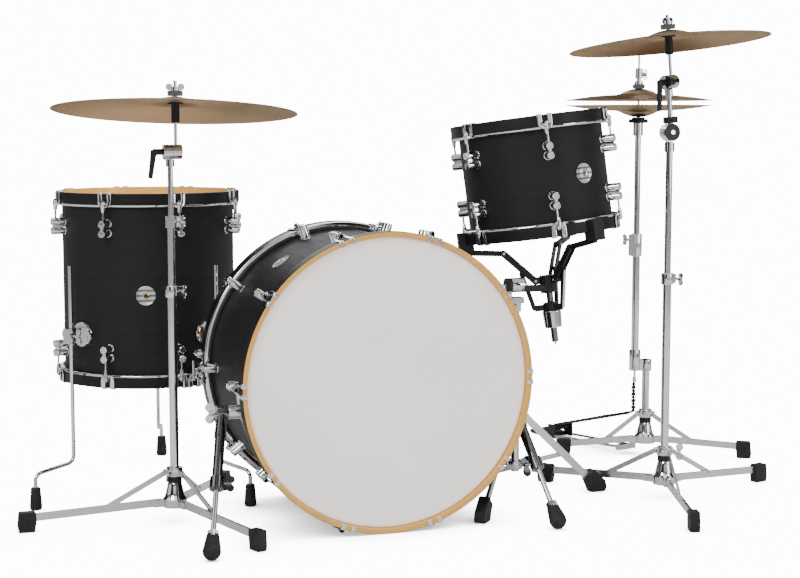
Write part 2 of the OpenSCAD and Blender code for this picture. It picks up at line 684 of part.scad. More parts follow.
// Threaded post, three-eared hub, and the tilter half that carries them
module basket_post() {
    color("silver") basket() translate([0, 0, basket_tip_z + 6])
        cylinder(r = post_r, h = basket_hub_z - basket_tip_z - 10);
    color("silver") basket() translate([0, 0, basket_tip_z]) cylinder(d = 5, h = 6, $fn = 32);
    color("#222222") basket() difference() {
        union() {
            translate([0, 0, basket_hub_z - 30]) cylinder(r = 20, h = 40);
            for (a = basket_arms) around(a, 0, basket_hub_z) {
                translate([8, -4, -8]) cube([basket_pivot_r - 8, 8, 16]);
                translate([basket_pivot_r, 0, 0]) rotate([90, 0, 0]) cylinder(d = 16, h = 8, center = true);
            }
        }
        for (a = basket_arms) around(a, basket_pivot_r, basket_hub_z) rotate([90, 0, 0])
            cylinder(d = pivot_d + 2 * fit_gap, h = 20, center = true, $fn = 32);
    }
    color("silver") kit() translate([tom_tilter_at[0], tom_tilter_at[1], tilter_z]) difference() {
        union() {
            rotate([0, 90, 0]) translate([0, 0, -tilter_hub_w / 2 + face_gap])
                cylinder(d = tilter_hub_d, h = tilter_hub_w - 2 * face_gap);
            translate([10, -17, -15]) cube([62, 11.5, 15]);
        }
        rotate([0, 90, 0]) cylinder(d = 8 + 2 * fit_gap, h = 2 * tilter_hub_w, center = true, $fn = 32);
    }
}

// Arm: two plates up to the elbow, a flat run out to the rubber grip on the lower hoop
module basket_arm(heading) basket() around(heading, 0) {
    pivot = [basket_pivot_r, basket_hub_z];
    color("#222222") {
        for (side = [-1, 1]) translate([0, side * (arm_gap + arm_plate_t) / 2, 0])
            flat_bar(pivot, basket_elbow, 15, arm_plate_t);
        flat_bar(basket_elbow, [grip_r - 6, -20], 13, arm_gap + 1);
    }
    color("silver") for (place = [pivot, basket_elbow]) translate([place[0], 0, place[1]]) rotate([90, 0, 0])
        cylinder(d = pivot_d, h = arm_gap + 2 * arm_plate_t + 2, center = true, $fn = 32);
    color("#222222") difference() {
        translate([grip_r - 18, -15, -20]) cube([34, 30, 48]);
        translate([0, 0, -2 * face_gap]) cylinder(r = grip_r + face_gap, h = 60);
    }
}

module basket_arm_left() basket_arm(basket_arms[0]);
module basket_arm_right() basket_arm(basket_arms[1]);
module basket_arm_rear() basket_arm(basket_arms[2]);

// Knob below the sliding collar, and the three links that stand up between the arm plates
module basket_knob() color("silver") basket()
    translate([0, 0, basket_collar_z - 9.5 - basket_knob_h]) difference() {
        cylinder(d1 = 40, d2 = 44, h = basket_knob_h);
        translate([0, 0, -1]) cylinder(r = post_r + fit_gap, h = basket_knob_h + 2);
    }

module basket_links() color("#222222") basket() {
    translate([0, 0, basket_collar_z - 9]) difference() {
        union() {
            cylinder(r = 18, h = 18);
            for (a = basket_arms) around(a, 0) translate([12, -4, 1]) cube([26, 8, 14]);
        }
        translate([0, 0, -1]) cylinder(r = post_r + fit_gap, h = 30);
    }
    for (a = basket_arms) around(a, 0)
        flat_bar([40, basket_collar_z], [60, basket_hub_z + 20], 10, 7.6);
}

// ---------- cymbals and tilters ----------

// Bow and bell as one lathe-turned sheet; z = 0 is the rim
module cymbal(d, bow, bell_r, bell_h, hole) {
    r = d / 2;
    dome = (bell_r * bell_r + bell_h * bell_h) / (2 * bell_h);
    outside = concat(
        [for (i = [0 : 12]) let (x = hole + (bell_r - hole) * i / 12)
            [x, bow + bell_h - dome + sqrt(dome * dome - x * x)]],
        [for (i = [1 : 14]) let (s = i / 14, x = bell_r + (r - bell_r) * s)
            [x, bow * (1 - s * s * 0.75 - s * 0.25)]]
    );
    inside = [for (i = [len(outside) - 1 : -1 : 0]) outside[i] - [0, cymbal_t]];
    rotate_extrude($fn = 128) polygon(concat(outside, inside));
}

crash_ratchet_d = 40;
crash_ratchet_w = 14;
crash_ring_d = 34;
ride_bow = 16;
ride_bell = 17;
crash_bow = 16;
crash_bell = 17;
bell_r = 60;
hole_r = 7;
seat_r = 5;
tilter_d = 32;
tilter_w = 20;
tilter_split = 5;
tilter_side = 13;

// Where each cymbal's hole is, and the cymbal's own leaning frame about it
ride_top_z = ride_rim_z + ride_bow + ride_bell;
crash_top_z = crash_rim_z + crash_bow + crash_bell;
module ride_frame() at_stand(ride_at) translate([tilter_side, 0, ride_top_z])
    rotate(ride_lean) translate([0, 0, -ride_bow - ride_bell]) children();
module crash_arm() at_stand(crash_at) translate([0, 0, crash_joint_z]) rotate(crash_arm_lean) children();
module crash_head() crash_arm() translate([0, -crash_ratchet_w / 2, -crash_joint_z])
    rotate([0, 0, crash_turn]) children();
module crash_frame() crash_head() translate([tilter_side, 0, crash_top_z])
    rotate([0, 0, -crash_turn]) rotate(-crash_arm_lean) rotate(crash_lean)
        translate([0, 0, -crash_bow - crash_bell]) children();

module ride_cymbal() color("#b5926b") ride_frame() cymbal(ride_d, ride_bow, bell_r, ride_bell, hole_r);
module crash_cymbal() color("#b5926b") crash_frame()
    cymbal(crash_d, crash_bow, bell_r, crash_bell, hole_r);

// Felt above the bell and under it, both on the rod
module felts(top, gap) {
    dome = 120;
    difference() {
        translate([0, 0, top - 2]) cylinder(r = 17, h = 15);
        translate([0, 0, top - dome + gap]) sphere(r = dome, $fn = 96);
        translate([0, 0, top - 10]) cylinder(r = seat_r, h = 40);
    }
    translate([0, 0, top - 13]) tube(28, 2 * seat_r, 8.5);
}

module ride_felts() color("gray") at_stand(ride_at) translate([tilter_side, 0, 0])
    felts(ride_top_z, 2.4);
module crash_felts() color("gray") crash_head() translate([tilter_side, 0, 0])
    felts(crash_top_z, 2.4);

// Upper half of a tilter with the cymbal's rod, sleeve and wing nut; z = 0 at its axis
module cymbal_seat(bell_top) {
    color("silver") difference() {
        translate([face_gap / 2, 0, 0]) rotate([0, 90, 0]) cylinder(d = tilter_d, h = tilter_w);
        rotate([0, 90, 0]) cylinder(d = 8 + 2 * fit_gap, h = 80, center = true, $fn = 32);
    }
    translate([tilter_side - tilter_split, 0, 0]) {
        color("silver") translate([0, 0, tilter_d / 2 - 2])
            cylinder(d = 8, h = bell_top - 26 - tilter_d / 2 + 2, $fn = 32);
        color("#222222") translate([0, 0, bell_top - 56]) cylinder(d = 18, h = 40);
        color("#222222") translate([0, 0, bell_top - 16]) cylinder(r = 17, h = 3);
        color("silver") translate([0, 0, bell_top - 16]) cylinder(r = seat_r, h = 29);
        color("silver") translate([0, 0, bell_top + 13]) {
            cylinder(d = 20, h = 8);
            cylinder(d = 8, h = 22, $fn = 32);
            for (side = [-1, 1]) translate([side * 13, 0, 8]) rotate([90, 0, 0])
                cylinder(d = 15, h = 4, center = true, $fn = 32);
        }
    }
}

// Lower half of a tilter on the tube's top, with the hinge bolt and the lever
module tilter_base(tube_d, lever_drop) {
    color("silver") translate([-tilter_w - face_gap / 2, 0, 0]) rotate([0, 90, 0])
        cylinder(d = tilter_d, h = tilter_w);
    color("silver") rotate([0, 90, 0]) translate([0, 0, -1]) cylinder(d = 8, h = tilter_w + 3, $fn = 32);
    color("silver") translate([0, 0, -tilter_d / 2 - 16]) difference() {
        translate([-tilter_split, 0, 0]) cylinder(d = tube_d + 7, h = 15.4);
        translate([-tilter_split, 0, -2]) cylinder(d = tube_d, h = 14);
    }
    color("silver") translate([-17.2, -7, -tilter_d / 2 - 2]) cube([16.6, 14, 8]);
    color("#222222") translate([-tilter_w - face_gap / 2 - 22, 0, 0]) rotate([0, 90, 0])
        cylinder(d = 14, h = 22);
    color("#222222") translate([-tilter_w - 20, 0, 4]) rotate([0, 188, 0])
        cylinder(d1 = 14, d2 = 10, h = lever_drop);
}

module ride_mid_tube() color("silver") at_stand(ride_at) {
    difference() {
        union() {
            translate([0, 0, 330]) cylinder(d = mid_tube_d, h = ride_clamp2_z - 330);
            translate([0, 0, ride_clamp2_z]) rotate([0, 0, clamp_turn]) clamp_body(mid_tube_d, 26);
        }
        translate([0, 0, 320]) cylinder(d = mid_bore, h = ride_clamp2_z - 280);
    }
    translate([0, 0, ride_clamp2_z]) clamp_bolt(mid_tube_d, clamp_turn);
}
module ride_upper_tube() at_stand(ride_at) {
    color("silver") translate([0, 0, 584]) cylinder(d = upper_tube_d, h = ride_tilter_z - 604);
    translate([tilter_split, 0, ride_tilter_z]) tilter_base(upper_tube_d, 62);
}
module ride_tilter() at_stand(ride_at) translate([tilter_split, 0, ride_tilter_z])
    cymbal_seat(ride_top_z - ride_tilter_z);

// Crash stand: one tube up to a round ratchet, a thin arm above it

module crash_mid_tube() color("silver") at_stand(crash_at) {
    translate([0, 0, 340]) cylinder(d = mid_tube_d, h = crash_joint_z - 340 - crash_ratchet_d / 2 - 1);
    translate([-7, face_gap, crash_joint_z - 30]) cube([14, 7.4, 18]);
    translate([0, 0, crash_joint_z]) rotate([90, 0, 0]) translate([0, 0, -crash_ratchet_w - face_gap])
        cylinder(d = crash_ratchet_d, h = crash_ratchet_w);
    translate([0, 0, crash_joint_z]) rotate([90, 0, 0]) translate([0, 0, -3])
        cylinder(d = 10, h = crash_ratchet_w + 6, $fn = 32);
    translate([0, 0, crash_joint_z - 45]) cylinder(d = mid_tube_d + 7, h = 21);
}
module crash_boom() {
    crash_arm() {
        color("silver") rotate([90, 0, 0]) difference() {
            cylinder(d = crash_ratchet_d, h = crash_ratchet_w);
            translate([0, 0, -1]) cylinder(d = 10 + 2 * fit_gap, h = crash_ratchet_w + 2, $fn = 32);
        }
        color("silver") translate([0, -crash_ratchet_w / 2, crash_ratchet_d / 2 - 4])
            cylinder(d = upper_tube_d, h = 75);
        color("silver") translate([0, -crash_ratchet_w / 2, crash_ratchet_d / 2 + 1.5])
            cylinder(d = crash_ring_d, h = 14);
    }
    crash_head() translate([tilter_split, 0, crash_tilter_z]) tilter_base(upper_tube_d, 67);
}
module crash_tilter() crash_head() translate([tilter_split, 0, crash_tilter_z])
    cymbal_seat(crash_top_z - crash_tilter_z);

// ---------- hi-hat ----------

hat_bow = 14;
hat_bell = 16;
hat_bell_r = 52;

module hihat() at_stand(hihat_at) children();

// Casting that carries the upper column beside the post
module hihat_offset_block() color("silver") difference() {
    union() {
        hihat() translate([0, 0, hihat_block_z]) cylinder(d = 30, h = 54);
        at_stand(hihat_post_at) translate([0, 0, hihat_block_z - 2]) cylinder(d = 30, h = 30);
        hihat() translate([0, -9, hihat_block_z]) cube([hihat_post_at[0] - hihat_at[0], 18, 26]);
    }
    hihat() translate([0, 0, hihat_block_z + 6]) cylinder(d = lower_tube_d, h = 80);
    hihat() translate([0, 0, hihat_block_z - 5]) cylinder(d = 12, h = 80);
    at_stand(hihat_post_at) translate([0, 0, hihat_block_z - 40]) cylinder(d = lower_tube_d, h = 64);
}

module hihat_upper_tube() hihat() {
    color("silver") translate([0, 0, 440]) tube(mid_tube_d, hihat_upper_bore, hihat_seat_z - 450);
    color("silver") translate([0, 0, hihat_seat_z - 43]) tube(26, mid_tube_d - 1, 34);
    color("#222222") translate([0, 0, hihat_seat_z - 10]) tube(50, hihat_upper_bore, 10);
    color("gray") translate([0, 0, hihat_seat_z]) tube(34, 12, 4.8);
}

module hihat_bottom_cymbal() color("#b5926b") hihat() translate([0, 0, hihat_bottom_rim_z])
    mirror([0, 0, 1]) cymbal(hihat_d, hat_bow, hat_bell_r, hat_bell, 6);
module hihat_top_cymbal() color("#b5926b") hihat() translate([0, 0, hihat_top_rim_z])
    cymbal(hihat_d, hat_bow, hat_bell_r, hat_bell, 6);

hat_top = hihat_top_rim_z + hat_bow + hat_bell;

// Clutch: sleeve through the cymbal, two felts, nuts and a wing screw
module hihat_clutch() hihat() {
    color("silver") translate([0, 0, hat_top - 14]) tube(11.8, pull_rod_d + 2 * fit_gap, 60);
    color("gray") translate([0, 0, hat_top]) tube(32, 11.8, 11);
    color("gray") translate([0, 0, hat_top - 12]) tube(24, 11.8, 9);
    color("silver") translate([0, 0, hat_top + 11]) tube(22, 11.4, 8);
    color("silver") translate([0, 0, hat_top + 26]) tube(19, 11.4, 26);
    color("silver") translate([8, 0, hat_top + 36]) wing_bolt(5, 13);
}

module hihat_pull_rod() color("silver") hihat() {
    translate([0, 0, hihat_rod_bottom])
        cylinder(d = pull_rod_d, h = hihat_rod_top - rod_tip_h - 3 - hihat_rod_bottom);
    translate([0, 0, hihat_rod_top - rod_tip_h - 4]) cylinder(d = 5.4, h = 6);
    translate([0, 0, hihat_rod_top - rod_tip_h]) cylinder(d = rod_tip_d, h = rod_tip_h);
    translate([0, 0, hihat_rod_bottom - 8]) cylinder(d = 10, h = 14);
}

// Pedal frame of reference: +X from the toe to the heel
module pedal() hihat() rotate([0, 0, pedal_heading]) children();

// Heel plate, hinge pin and the rods that hold it to the hub
module pedal_frame() {
    pedal() {
        color("#222222") translate([pedal_hinge + 10, -32, 2]) cube([88, 64, 10]);
        color("#222222") for (side = [-1, 1])
            translate([pedal_hinge - 12, side * 29 - 3, 2]) cube([32, 6, 36]);
        color("silver") translate([pedal_hinge, 0, pedal_hinge_z]) rotate([90, 0, 0])
            cylinder(d = 8, h = 64, center = true, $fn = 32);
        color("silver") for (side = [-1, 1])
            rod_between([34, side * 24, 20], [pedal_hinge - 10, side * 29, 8], 7);
        color("silver") translate([24, -30, 12]) cube([14, 60, 14]);
    }
    color("silver") kit() rod_between([900, 382, 40], [866, 396, 22], 10);
}

module hihat_footboard() color("#222222") pedal() {
    rise = pedal_toe_z - pedal_hinge_z;
    reach = pedal_hinge - 14;
    slope = atan2(rise, reach);
    toe_gap = 31;
    translate([pedal_hinge, 0, pedal_hinge_z]) rotate([0, slope, 0]) {
        difference() {
            union() {
                rotate([90, 0, 0]) cylinder(d = 16, h = 50, center = true);
                translate([toe_gap - reach, 0, 4]) linear_extrude(7) polygon([
                    [0, -34], [20, -42], [reach - toe_gap, -25],
                    [reach - toe_gap, 25], [20, 42], [0, 34]
                ]);
            }
            rotate([90, 0, 0]) cylinder(d = 8 + 2 * fit_gap, h = 60, center = true, $fn = 32);
        }
        translate([-reach - 10, -9, 5]) cube([60, 18, 6]);
    }
}

// Link chain from the rod's end down to the toe
chain_pitch = 8.8;
module hihat_chain() color("#222222") hihat() rotate([0, 0, pedal_heading])
    for (i = [0 : 8]) translate([3, 0, pedal_toe_z + 14 + i * chain_pitch]) {
        cube([8, i % 2 == 0 ? 6 : 10, 7.5], center = true);
        cube([4, 4, chain_pitch + 0.2], center = true);
    }

// ---------- nodes ----------

bass_shell();
bass_hoops();
bass_heads();
floor_tom_shell();
floor_tom_hoops();
floor_tom_heads();
drum_lugs();
hoop_claws();
tension_rods();
shell_badges();
spur_brackets();
floor_tom_leg_brackets();
stand_hubs();
stand_legs();
stand_braces();
stand_feet();
stand_collars();
stand_lower_tubes();
tube_clamps();
wing_bolts();
hihat_offset_block();
pedal_frame();
spur_tube_left();
spur_tube_right();
spur_rod_left();
spur_rod_right();
floor_tom_leg_left();
floor_tom_leg_right();
floor_tom_leg_rear();
tom_stand_tube();
basket_post();
basket_arm_left();
basket_arm_right();
basket_arm_rear();
basket_knob();
basket_links();
rack_tom_shell();
rack_tom_hoops();
rack_tom_heads();
rack_tom_lugs();
rack_tom_claws();
rack_tom_tension_rods();
rack_tom_badge();
ride_mid_tube();
ride_upper_tube();
ride_tilter();
ride_cymbal();
ride_felts();
crash_mid_tube();
crash_boom();
crash_tilter();
crash_cymbal();
crash_felts();
hihat_upper_tube();
hihat_pull_rod();
hihat_clutch();
hihat_top_cymbal();
hihat_bottom_cymbal();
hihat_footboard();
hihat_chain();
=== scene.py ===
"""Looks for an acoustic drum kit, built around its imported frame. Metres, +Z up."""
import json
import math

import bpy
import numpy as np
from mathutils import Matrix, Vector


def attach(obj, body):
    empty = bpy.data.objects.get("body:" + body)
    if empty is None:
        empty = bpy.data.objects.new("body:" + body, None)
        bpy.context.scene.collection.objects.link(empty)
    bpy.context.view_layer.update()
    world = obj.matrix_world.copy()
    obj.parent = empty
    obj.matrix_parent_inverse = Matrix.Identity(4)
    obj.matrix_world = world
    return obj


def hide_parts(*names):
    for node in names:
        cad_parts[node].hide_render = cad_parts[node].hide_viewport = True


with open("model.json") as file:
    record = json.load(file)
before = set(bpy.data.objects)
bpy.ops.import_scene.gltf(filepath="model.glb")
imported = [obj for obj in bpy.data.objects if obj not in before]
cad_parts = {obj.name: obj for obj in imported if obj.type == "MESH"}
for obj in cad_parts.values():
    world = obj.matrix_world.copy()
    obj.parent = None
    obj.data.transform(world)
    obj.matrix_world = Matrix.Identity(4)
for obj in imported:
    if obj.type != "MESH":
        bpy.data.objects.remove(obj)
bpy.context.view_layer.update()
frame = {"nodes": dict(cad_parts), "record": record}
MM = 0.001
X, Y, Z = Vector((1, 0, 0)), Vector((0, 1, 0)), Vector((0, 0, 1))


# ---------- camera, floor and light ----------

CAMERA_AT = (-1.270, -3.639, 0.880)
CAMERA_DOWN, CAMERA_TURN = 5.87, 18.6  # degrees
LENS, SENSOR = 73.0, 36  # millimetres
WHITE = 14.0


def make_camera():
    data = bpy.data.cameras.new("camera")
    data.lens, data.sensor_width = LENS, SENSOR
    camera = bpy.data.objects.new("camera", data)
    camera.location = CAMERA_AT
    camera.rotation_euler = (math.radians(90 - CAMERA_DOWN), 0, -math.radians(CAMERA_TURN))
    bpy.context.scene.collection.objects.link(camera)
    bpy.context.scene.camera = camera


def soft_box(name, at, look_at, size, power):
    data = bpy.data.lights.new(name, "AREA")
    data.shape, data.size, data.size_y = "RECTANGLE", size[0], size[1]
    data.energy = power
    light = bpy.data.objects.new(name, data)
    light.location = at
    light.rotation_euler = (Vector(look_at) - Vector(at)).to_track_quat("-Z", "Y").to_euler()
    bpy.context.scene.collection.objects.link(light)


def grey_ramp(nodes, stops):
    """Ramp of greys from (place, value) stops."""
    ramp = nodes.new("ShaderNodeValToRGB")
    for place, value in stops:
        stop = ramp.color_ramp.elements.new(place)
        stop.color = (value, value, value, 1)
    return ramp


def show_camera(tree, seen, other, output):
    """The camera sees one shader and everything else sees the other."""
    rays = tree.nodes.new("ShaderNodeLightPath")
    mix = tree.nodes.new("ShaderNodeMixShader")
    tree.links.new(rays.outputs["Is Camera Ray"], mix.inputs[0])
    tree.links.new(other.outputs[0], mix.inputs[1])
    tree.links.new(seen.outputs[0], mix.inputs[2])
    tree.links.new(mix.outputs[0], tree.nodes[output].inputs["Surface"])


def make_world():
    """White to the camera; all else sees a studio with bright and dark panels."""
    world = bpy.data.worlds.new("studio")
    bpy.context.scene.world = world
    world.use_nodes = True
    tree = world.node_tree
    nodes, links = tree.nodes, tree.links
    seen = nodes["Background"]
    seen.inputs["Color"].default_value = (1, 1, 1, 1)
    seen.inputs["Strength"].default_value = WHITE
    lit = nodes.new("ShaderNodeBackground")
    lit.inputs["Strength"].default_value = 1.0
    place = nodes.new("ShaderNodeTexCoord")
    split = nodes.new("ShaderNodeSeparateXYZ")
    links.new(place.outputs["Generated"], split.inputs[0])
    panels = nodes.new("ShaderNodeTexGradient")
    panels.gradient_type = "RADIAL"
    links.new(place.outputs["Generated"], panels.inputs[0])
    bright, dark, fade = 1.35, 0.03, 0.015
    stops = []
    for start, end in ((0.0, 0.05), (0.17, 0.28), (0.38, 0.43), (0.52, 0.60), (0.72, 0.82), (0.95, 1.0)):
        stops += [(max(0.0, start - fade), dark), (start, bright)]
        stops += [(end, bright), (min(1.0, end + fade), dark)]
    around = grey_ramp(nodes, stops)
    links.new(panels.outputs["Fac"], around.inputs[0])
    height = grey_ramp(nodes, ((0.0, 0.25), (0.4, 0.3), (0.47, 0.12), (0.5, 0.75), (0.6, 1.0),
                               (0.64, 0.2), (0.74, 0.15), (0.8, 1.5), (0.92, 1.5), (0.96, 0.3)))
    lift = nodes.new("ShaderNodeMapRange")
    lift.inputs["From Min"].default_value = -1
    links.new(split.outputs["Z"], lift.inputs[0])
    links.new(lift.outputs[0], height.inputs[0])
    blend = nodes.new("ShaderNodeMix")
    blend.data_type, blend.blend_type = "RGBA", "MULTIPLY"
    blend.inputs["Factor"].default_value = 1.0
    links.new(around.outputs[0], blend.inputs["A"])
    links.new(height.outputs[0], blend.inputs["B"])
    links.new(blend.outputs["Result"], lit.inputs["Color"])
    show_camera(tree, seen, lit, "World Output")


def make_floor():
    mesh = bpy.data.meshes.new("floor")
    sides, radius = 96, 14.0
    angles = [2 * math.pi * i / sides for i in range(sides)]
    points = [(radius * math.cos(a), radius * math.sin(a), 0) for a in angles]
    mesh.from_pydata(points, [], [list(range(sides))])
    floor = bpy.data.objects.new("floor", mesh)
    bpy.context.scene.collection.objects.link(floor)
    material = bpy.data.materials.new("floor")
    material.use_nodes = True
    nodes, links = material.node_tree.nodes, material.node_tree.links
    near = nodes["Principled BSDF"]
    near.inputs["Base Color"].default_value = (0.8, 0.8, 0.8, 1)
    near.inputs["Roughness"].default_value = 0.8
    # The camera sees the floor as a glow that ambient occlusion dims near the kit: painted contact shadows
    # under the drums and stands.
    shade = nodes.new("ShaderNodeAmbientOcclusion")
    shade.inputs["Distance"].default_value = 0.16
    shade.samples = 12
    glow_with_painted_shadow = nodes.new("ShaderNodeMapRange")
    for socket, value in (("From Min", 0.15), ("From Max", 0.97), ("To Min", 0.7), ("To Max", WHITE)):
        glow_with_painted_shadow.inputs[socket].default_value = value
    glow_with_painted_shadow.interpolation_type = "SMOOTHSTEP"
    links.new(shade.outputs["AO"], glow_with_painted_shadow.inputs[0])
    seen = nodes.new("ShaderNodeEmission")
    links.new(glow_with_painted_shadow.outputs[0], seen.inputs["Strength"])
    show_camera(material.node_tree, seen, near, "Material Output")
    mesh.materials.append(material)


def make_stage():
    make_camera()
    make_world()
    make_floor()
    soft_box("key", (-2.6, -2.6, 2.6), (0, 0, 0.5), (1.6, 1.6), 95)
    soft_box("fill", (2.4, -3.2, 1.6), (0.2, 0, 0.5), (1.2, 2.2), 55)
    soft_box("top", (0.2, 0.2, 3.2), (0, 0, 0), (2.2, 1.4), 60)
    soft_box("back", (0.4, 3.4, 2.2), (0, 0, 0.5), (2.4, 1.0), 32)


# ---------- finishes ----------

class Finish:
    """A Principled material whose detail comes from nodes in the piece's own coordinates."""

    def __init__(self, name, color, **sockets):
        self.material = bpy.data.materials.new(name)
        self.material.use_nodes = True
        self.tree = self.material.node_tree
        self.shader = self.tree.nodes["Principled BSDF"]
        self.shader.inputs["Base Color"].default_value = (*color, 1)
        for socket, value in sockets.items():
            self.shader.inputs[socket.replace("_", " ")].default_value = value

    def node(self, kind, **settings):
        made = self.tree.nodes.new("ShaderNode" + kind)
        for key, value in settings.items():
            setattr(made, key, value)
        return made

    def link(self, source, target):
        self.tree.links.new(source, target)

    def place(self, scale=(1, 1, 1)):
        """The piece's own coordinates, scaled."""
        mapping = self.node("Mapping", vector_type="POINT")
        mapping.inputs["Scale"].default_value = scale
        self.link(self.node("TexCoord").outputs["Object"], mapping.inputs[0])
        return mapping.outputs[0]

    def noise(self, scale, where=None, detail=4, roughness=0.55):
        made = self.node("TexNoise")
        made.inputs["Scale"].default_value = scale
        made.inputs["Detail"].default_value = detail
        made.inputs["Roughness"].default_value = roughness
        self.link(where or self.place(), made.inputs["Vector"])
        return made.outputs["Fac"]

    def spread(self, factor, low, high):
        """The middle of a noise's range turned into values from low to high."""
        start, end = 0.3, 0.7
        made = self.node("MapRange")
        for socket, value in zip(("From Min", "From Max", "To Min", "To Max"), (start, end, low, high)):
            made.inputs[socket].default_value = value
        self.link(factor, made.inputs[0])
        return made.outputs[0]

    def tint(self, factor, *stops):
        """A factor turned into colours: (place, colour) stops."""
        made = self.node("ValToRGB")
        ramp = made.color_ramp
        while len(ramp.elements) < len(stops):
            ramp.elements.new(0.5)
        for element, (place, color) in zip(ramp.elements, stops):
            element.position = place
            element.color = (*color, 1)
        self.link(factor, made.inputs[0])
        return made.outputs[0]

    def color(self, source):
        self.link(source, self.shader.inputs["Base Color"])

    def rough(self, source):
        self.link(source, self.shader.inputs["Roughness"])

    def bump(self, height, depth, strength=1.0, under=None):
        made = self.node("Bump")
        made.inputs["Strength"].default_value = strength
        made.inputs["Distance"].default_value = depth
        self.link(height, made.inputs["Height"])
        if under is not None:
            self.link(under, made.inputs["Normal"])
        self.link(made.outputs[0], self.shader.inputs["Normal"])
        return made.outputs[0]


def grain_place(finish, turns, along):
    """Coordinates that run round a drum: angle about local Z, height and radius."""
    split = finish.node("SeparateXYZ")
    finish.link(finish.place(), split.inputs[0])
    angle = finish.node("Math", operation="ARCTAN2")
    finish.link(split.outputs["Y"], angle.inputs[0])
    finish.link(split.outputs["X"], angle.inputs[1])
    joined = finish.node("CombineXYZ")
    for source, socket, scale in ((angle.outputs[0], "X", turns), (split.outputs["Z"], "Y", along)):
        scaled = finish.node("Math", operation="MULTIPLY")
        scaled.inputs[1].default_value = scale
        finish.link(source, scaled.inputs[0])
        finish.link(scaled.outputs[0], joined.inputs[socket])
    return joined.outputs[0]


def stained_wood(name, dark, light, along=70.0, gloss=0.42):
    """Open-grained veneer under black stain and satin lacquer; the grain runs round the drum."""
    finish = Finish(name, dark, Roughness=gloss, Specular_IOR_Level=0.15)
    streaks = finish.noise(3.0, grain_place(finish, 1.6, along), detail=8, roughness=0.65)
    pores = finish.noise(9.0, grain_place(finish, 5.0, along * 3), detail=3)
    finish.color(finish.tint(streaks, (0.3, dark), (0.62, light)))
    finish.rough(finish.spread(streaks, gloss - 0.05, gloss + 0.08))
    under = finish.bump(pores, 0.0001, 0.2)
    finish.bump(streaks, 0.0002, 0.12, under)
    return finish.material


def clear_maple(name, pale, deep):
    """Natural maple: pale, with fine lines and a faint cross figure."""
    finish = Finish(name, pale, Roughness=0.35, Coat_Weight=0.4, Coat_Roughness=0.15)
    lines = finish.noise(3.0, grain_place(finish, 2.0, 60.0), detail=9, roughness=0.6)
    figure = finish.noise(4.0, grain_place(finish, 14.0, 6.0), detail=2)
    palest = tuple(min(1, c * 1.12) for c in pale)
    finish.color(finish.tint(lines, (0.25, deep), (0.5, pale), (0.8, palest)))
    finish.rough(finish.spread(figure, 0.28, 0.42))
    finish.bump(lines, 0.0002, 0.15)
    return finish.material


def chrome(name="chrome", color=(0.66, 0.66, 0.68), low=0.05, high=0.12):
    """Plated steel with faint smears."""
    finish = Finish(name, color, Metallic=1.0)
    finish.rough(finish.spread(finish.noise(38.0, detail=5), low, high))
    finish.bump(finish.noise(160.0, detail=2), 0.00005, 0.06)
    return finish.material


def plated_bar():
    """Bright bar stock: chrome over drawn steel, with fine lines along the bars."""
    finish = Finish("plated_bar", (0.66, 0.66, 0.67), Metallic=1.0)
    drawn = finish.noise(60.0, finish.place(scale=(1, 1, 14)), detail=4)
    finish.rough(finish.spread(drawn, 0.22, 0.36))
    finish.bump(drawn, 0.00008, 0.12)
    return finish.material


def cast_black(name="cast_black", color=(0.010, 0.010, 0.011), gloss=0.38):
    """Powder-coated casting with an orange-peel skin."""
    finish = Finish(name, color, Specular_IOR_Level=0.25, Coat_Weight=0.05, Coat_Roughness=0.3)
    peel = finish.noise(900.0, detail=2)
    finish.rough(finish.spread(finish.noise(45.0), gloss - 0.06, gloss + 0.12))
    paler = tuple(c * 1.6 for c in color)
    finish.color(finish.tint(finish.noise(25.0), (0.35, color), (0.75, paler)))
    finish.bump(peel, 0.00012, 0.25)
    return finish.material


def rubber():
    """Moulded rubber, matt and near black."""
    dark, light = (0.008, 0.008, 0.009), (0.015, 0.015, 0.016)
    finish = Finish("rubber", (0.009, 0.009, 0.010), Specular_IOR_Level=0.3)
    finish.rough(finish.spread(finish.noise(70.0), 0.5, 0.72))
    finish.color(finish.tint(finish.noise(30.0, detail=6), (0.35, dark), (0.75, light)))
    finish.bump(finish.noise(1400.0, detail=2), 0.00015, 0.3)
    return finish.material


def drum_film():
    """Frosted film, warm and faintly mottled; a weak glow stands for light that passes through it."""
    finish = Finish("drum_film", (0.84, 0.81, 0.77), Roughness=0.5, Specular_IOR_Level=0.3,
                    Emission_Color=(1.0, 0.95, 0.9, 1), Emission_Strength=0.34)
    clouds = finish.noise(3.2, detail=6)
    finish.color(finish.tint(clouds, (0.3, (0.84, 0.805, 0.765)), (0.7, (0.87, 0.84, 0.805))))
    finish.rough(finish.spread(finish.noise(22.0), 0.42, 0.58))
    finish.bump(finish.noise(2500.0, detail=2), 0.00006, 0.2)
    return finish.material


def bronze():
    """Cymbal bronze: fine lathe grooves about local Z, soft tonal bands and a brushed sheen."""
    finish = Finish("bronze", (0.34, 0.255, 0.175), Metallic=1.0, Anisotropic=0.75,
                    Specular_Tint=(0.75, 0.62, 0.48, 1))
    tangent = finish.node("Tangent", direction_type="RADIAL", axis="Z")
    finish.link(tangent.outputs[0], finish.shader.inputs["Tangent"])
    radius = finish.node("VectorMath", operation="LENGTH")
    finish.link(finish.place(scale=(1, 1, 0)), radius.inputs[0])
    ring = finish.node("CombineXYZ")
    finish.link(radius.outputs["Value"], ring.inputs["X"])
    bands = finish.noise(55.0, ring.outputs[0], detail=5, roughness=0.7)
    grooves = finish.noise(900.0, ring.outputs[0], detail=2)
    finish.color(finish.tint(bands, (0.3, (0.27, 0.2, 0.132)), (0.52, (0.34, 0.253, 0.17)),
                             (0.75, (0.41, 0.312, 0.215))))
    finish.rough(finish.spread(bands, 0.34, 0.46))
    finish.bump(grooves, 0.00012, 0.35)
    return finish.material


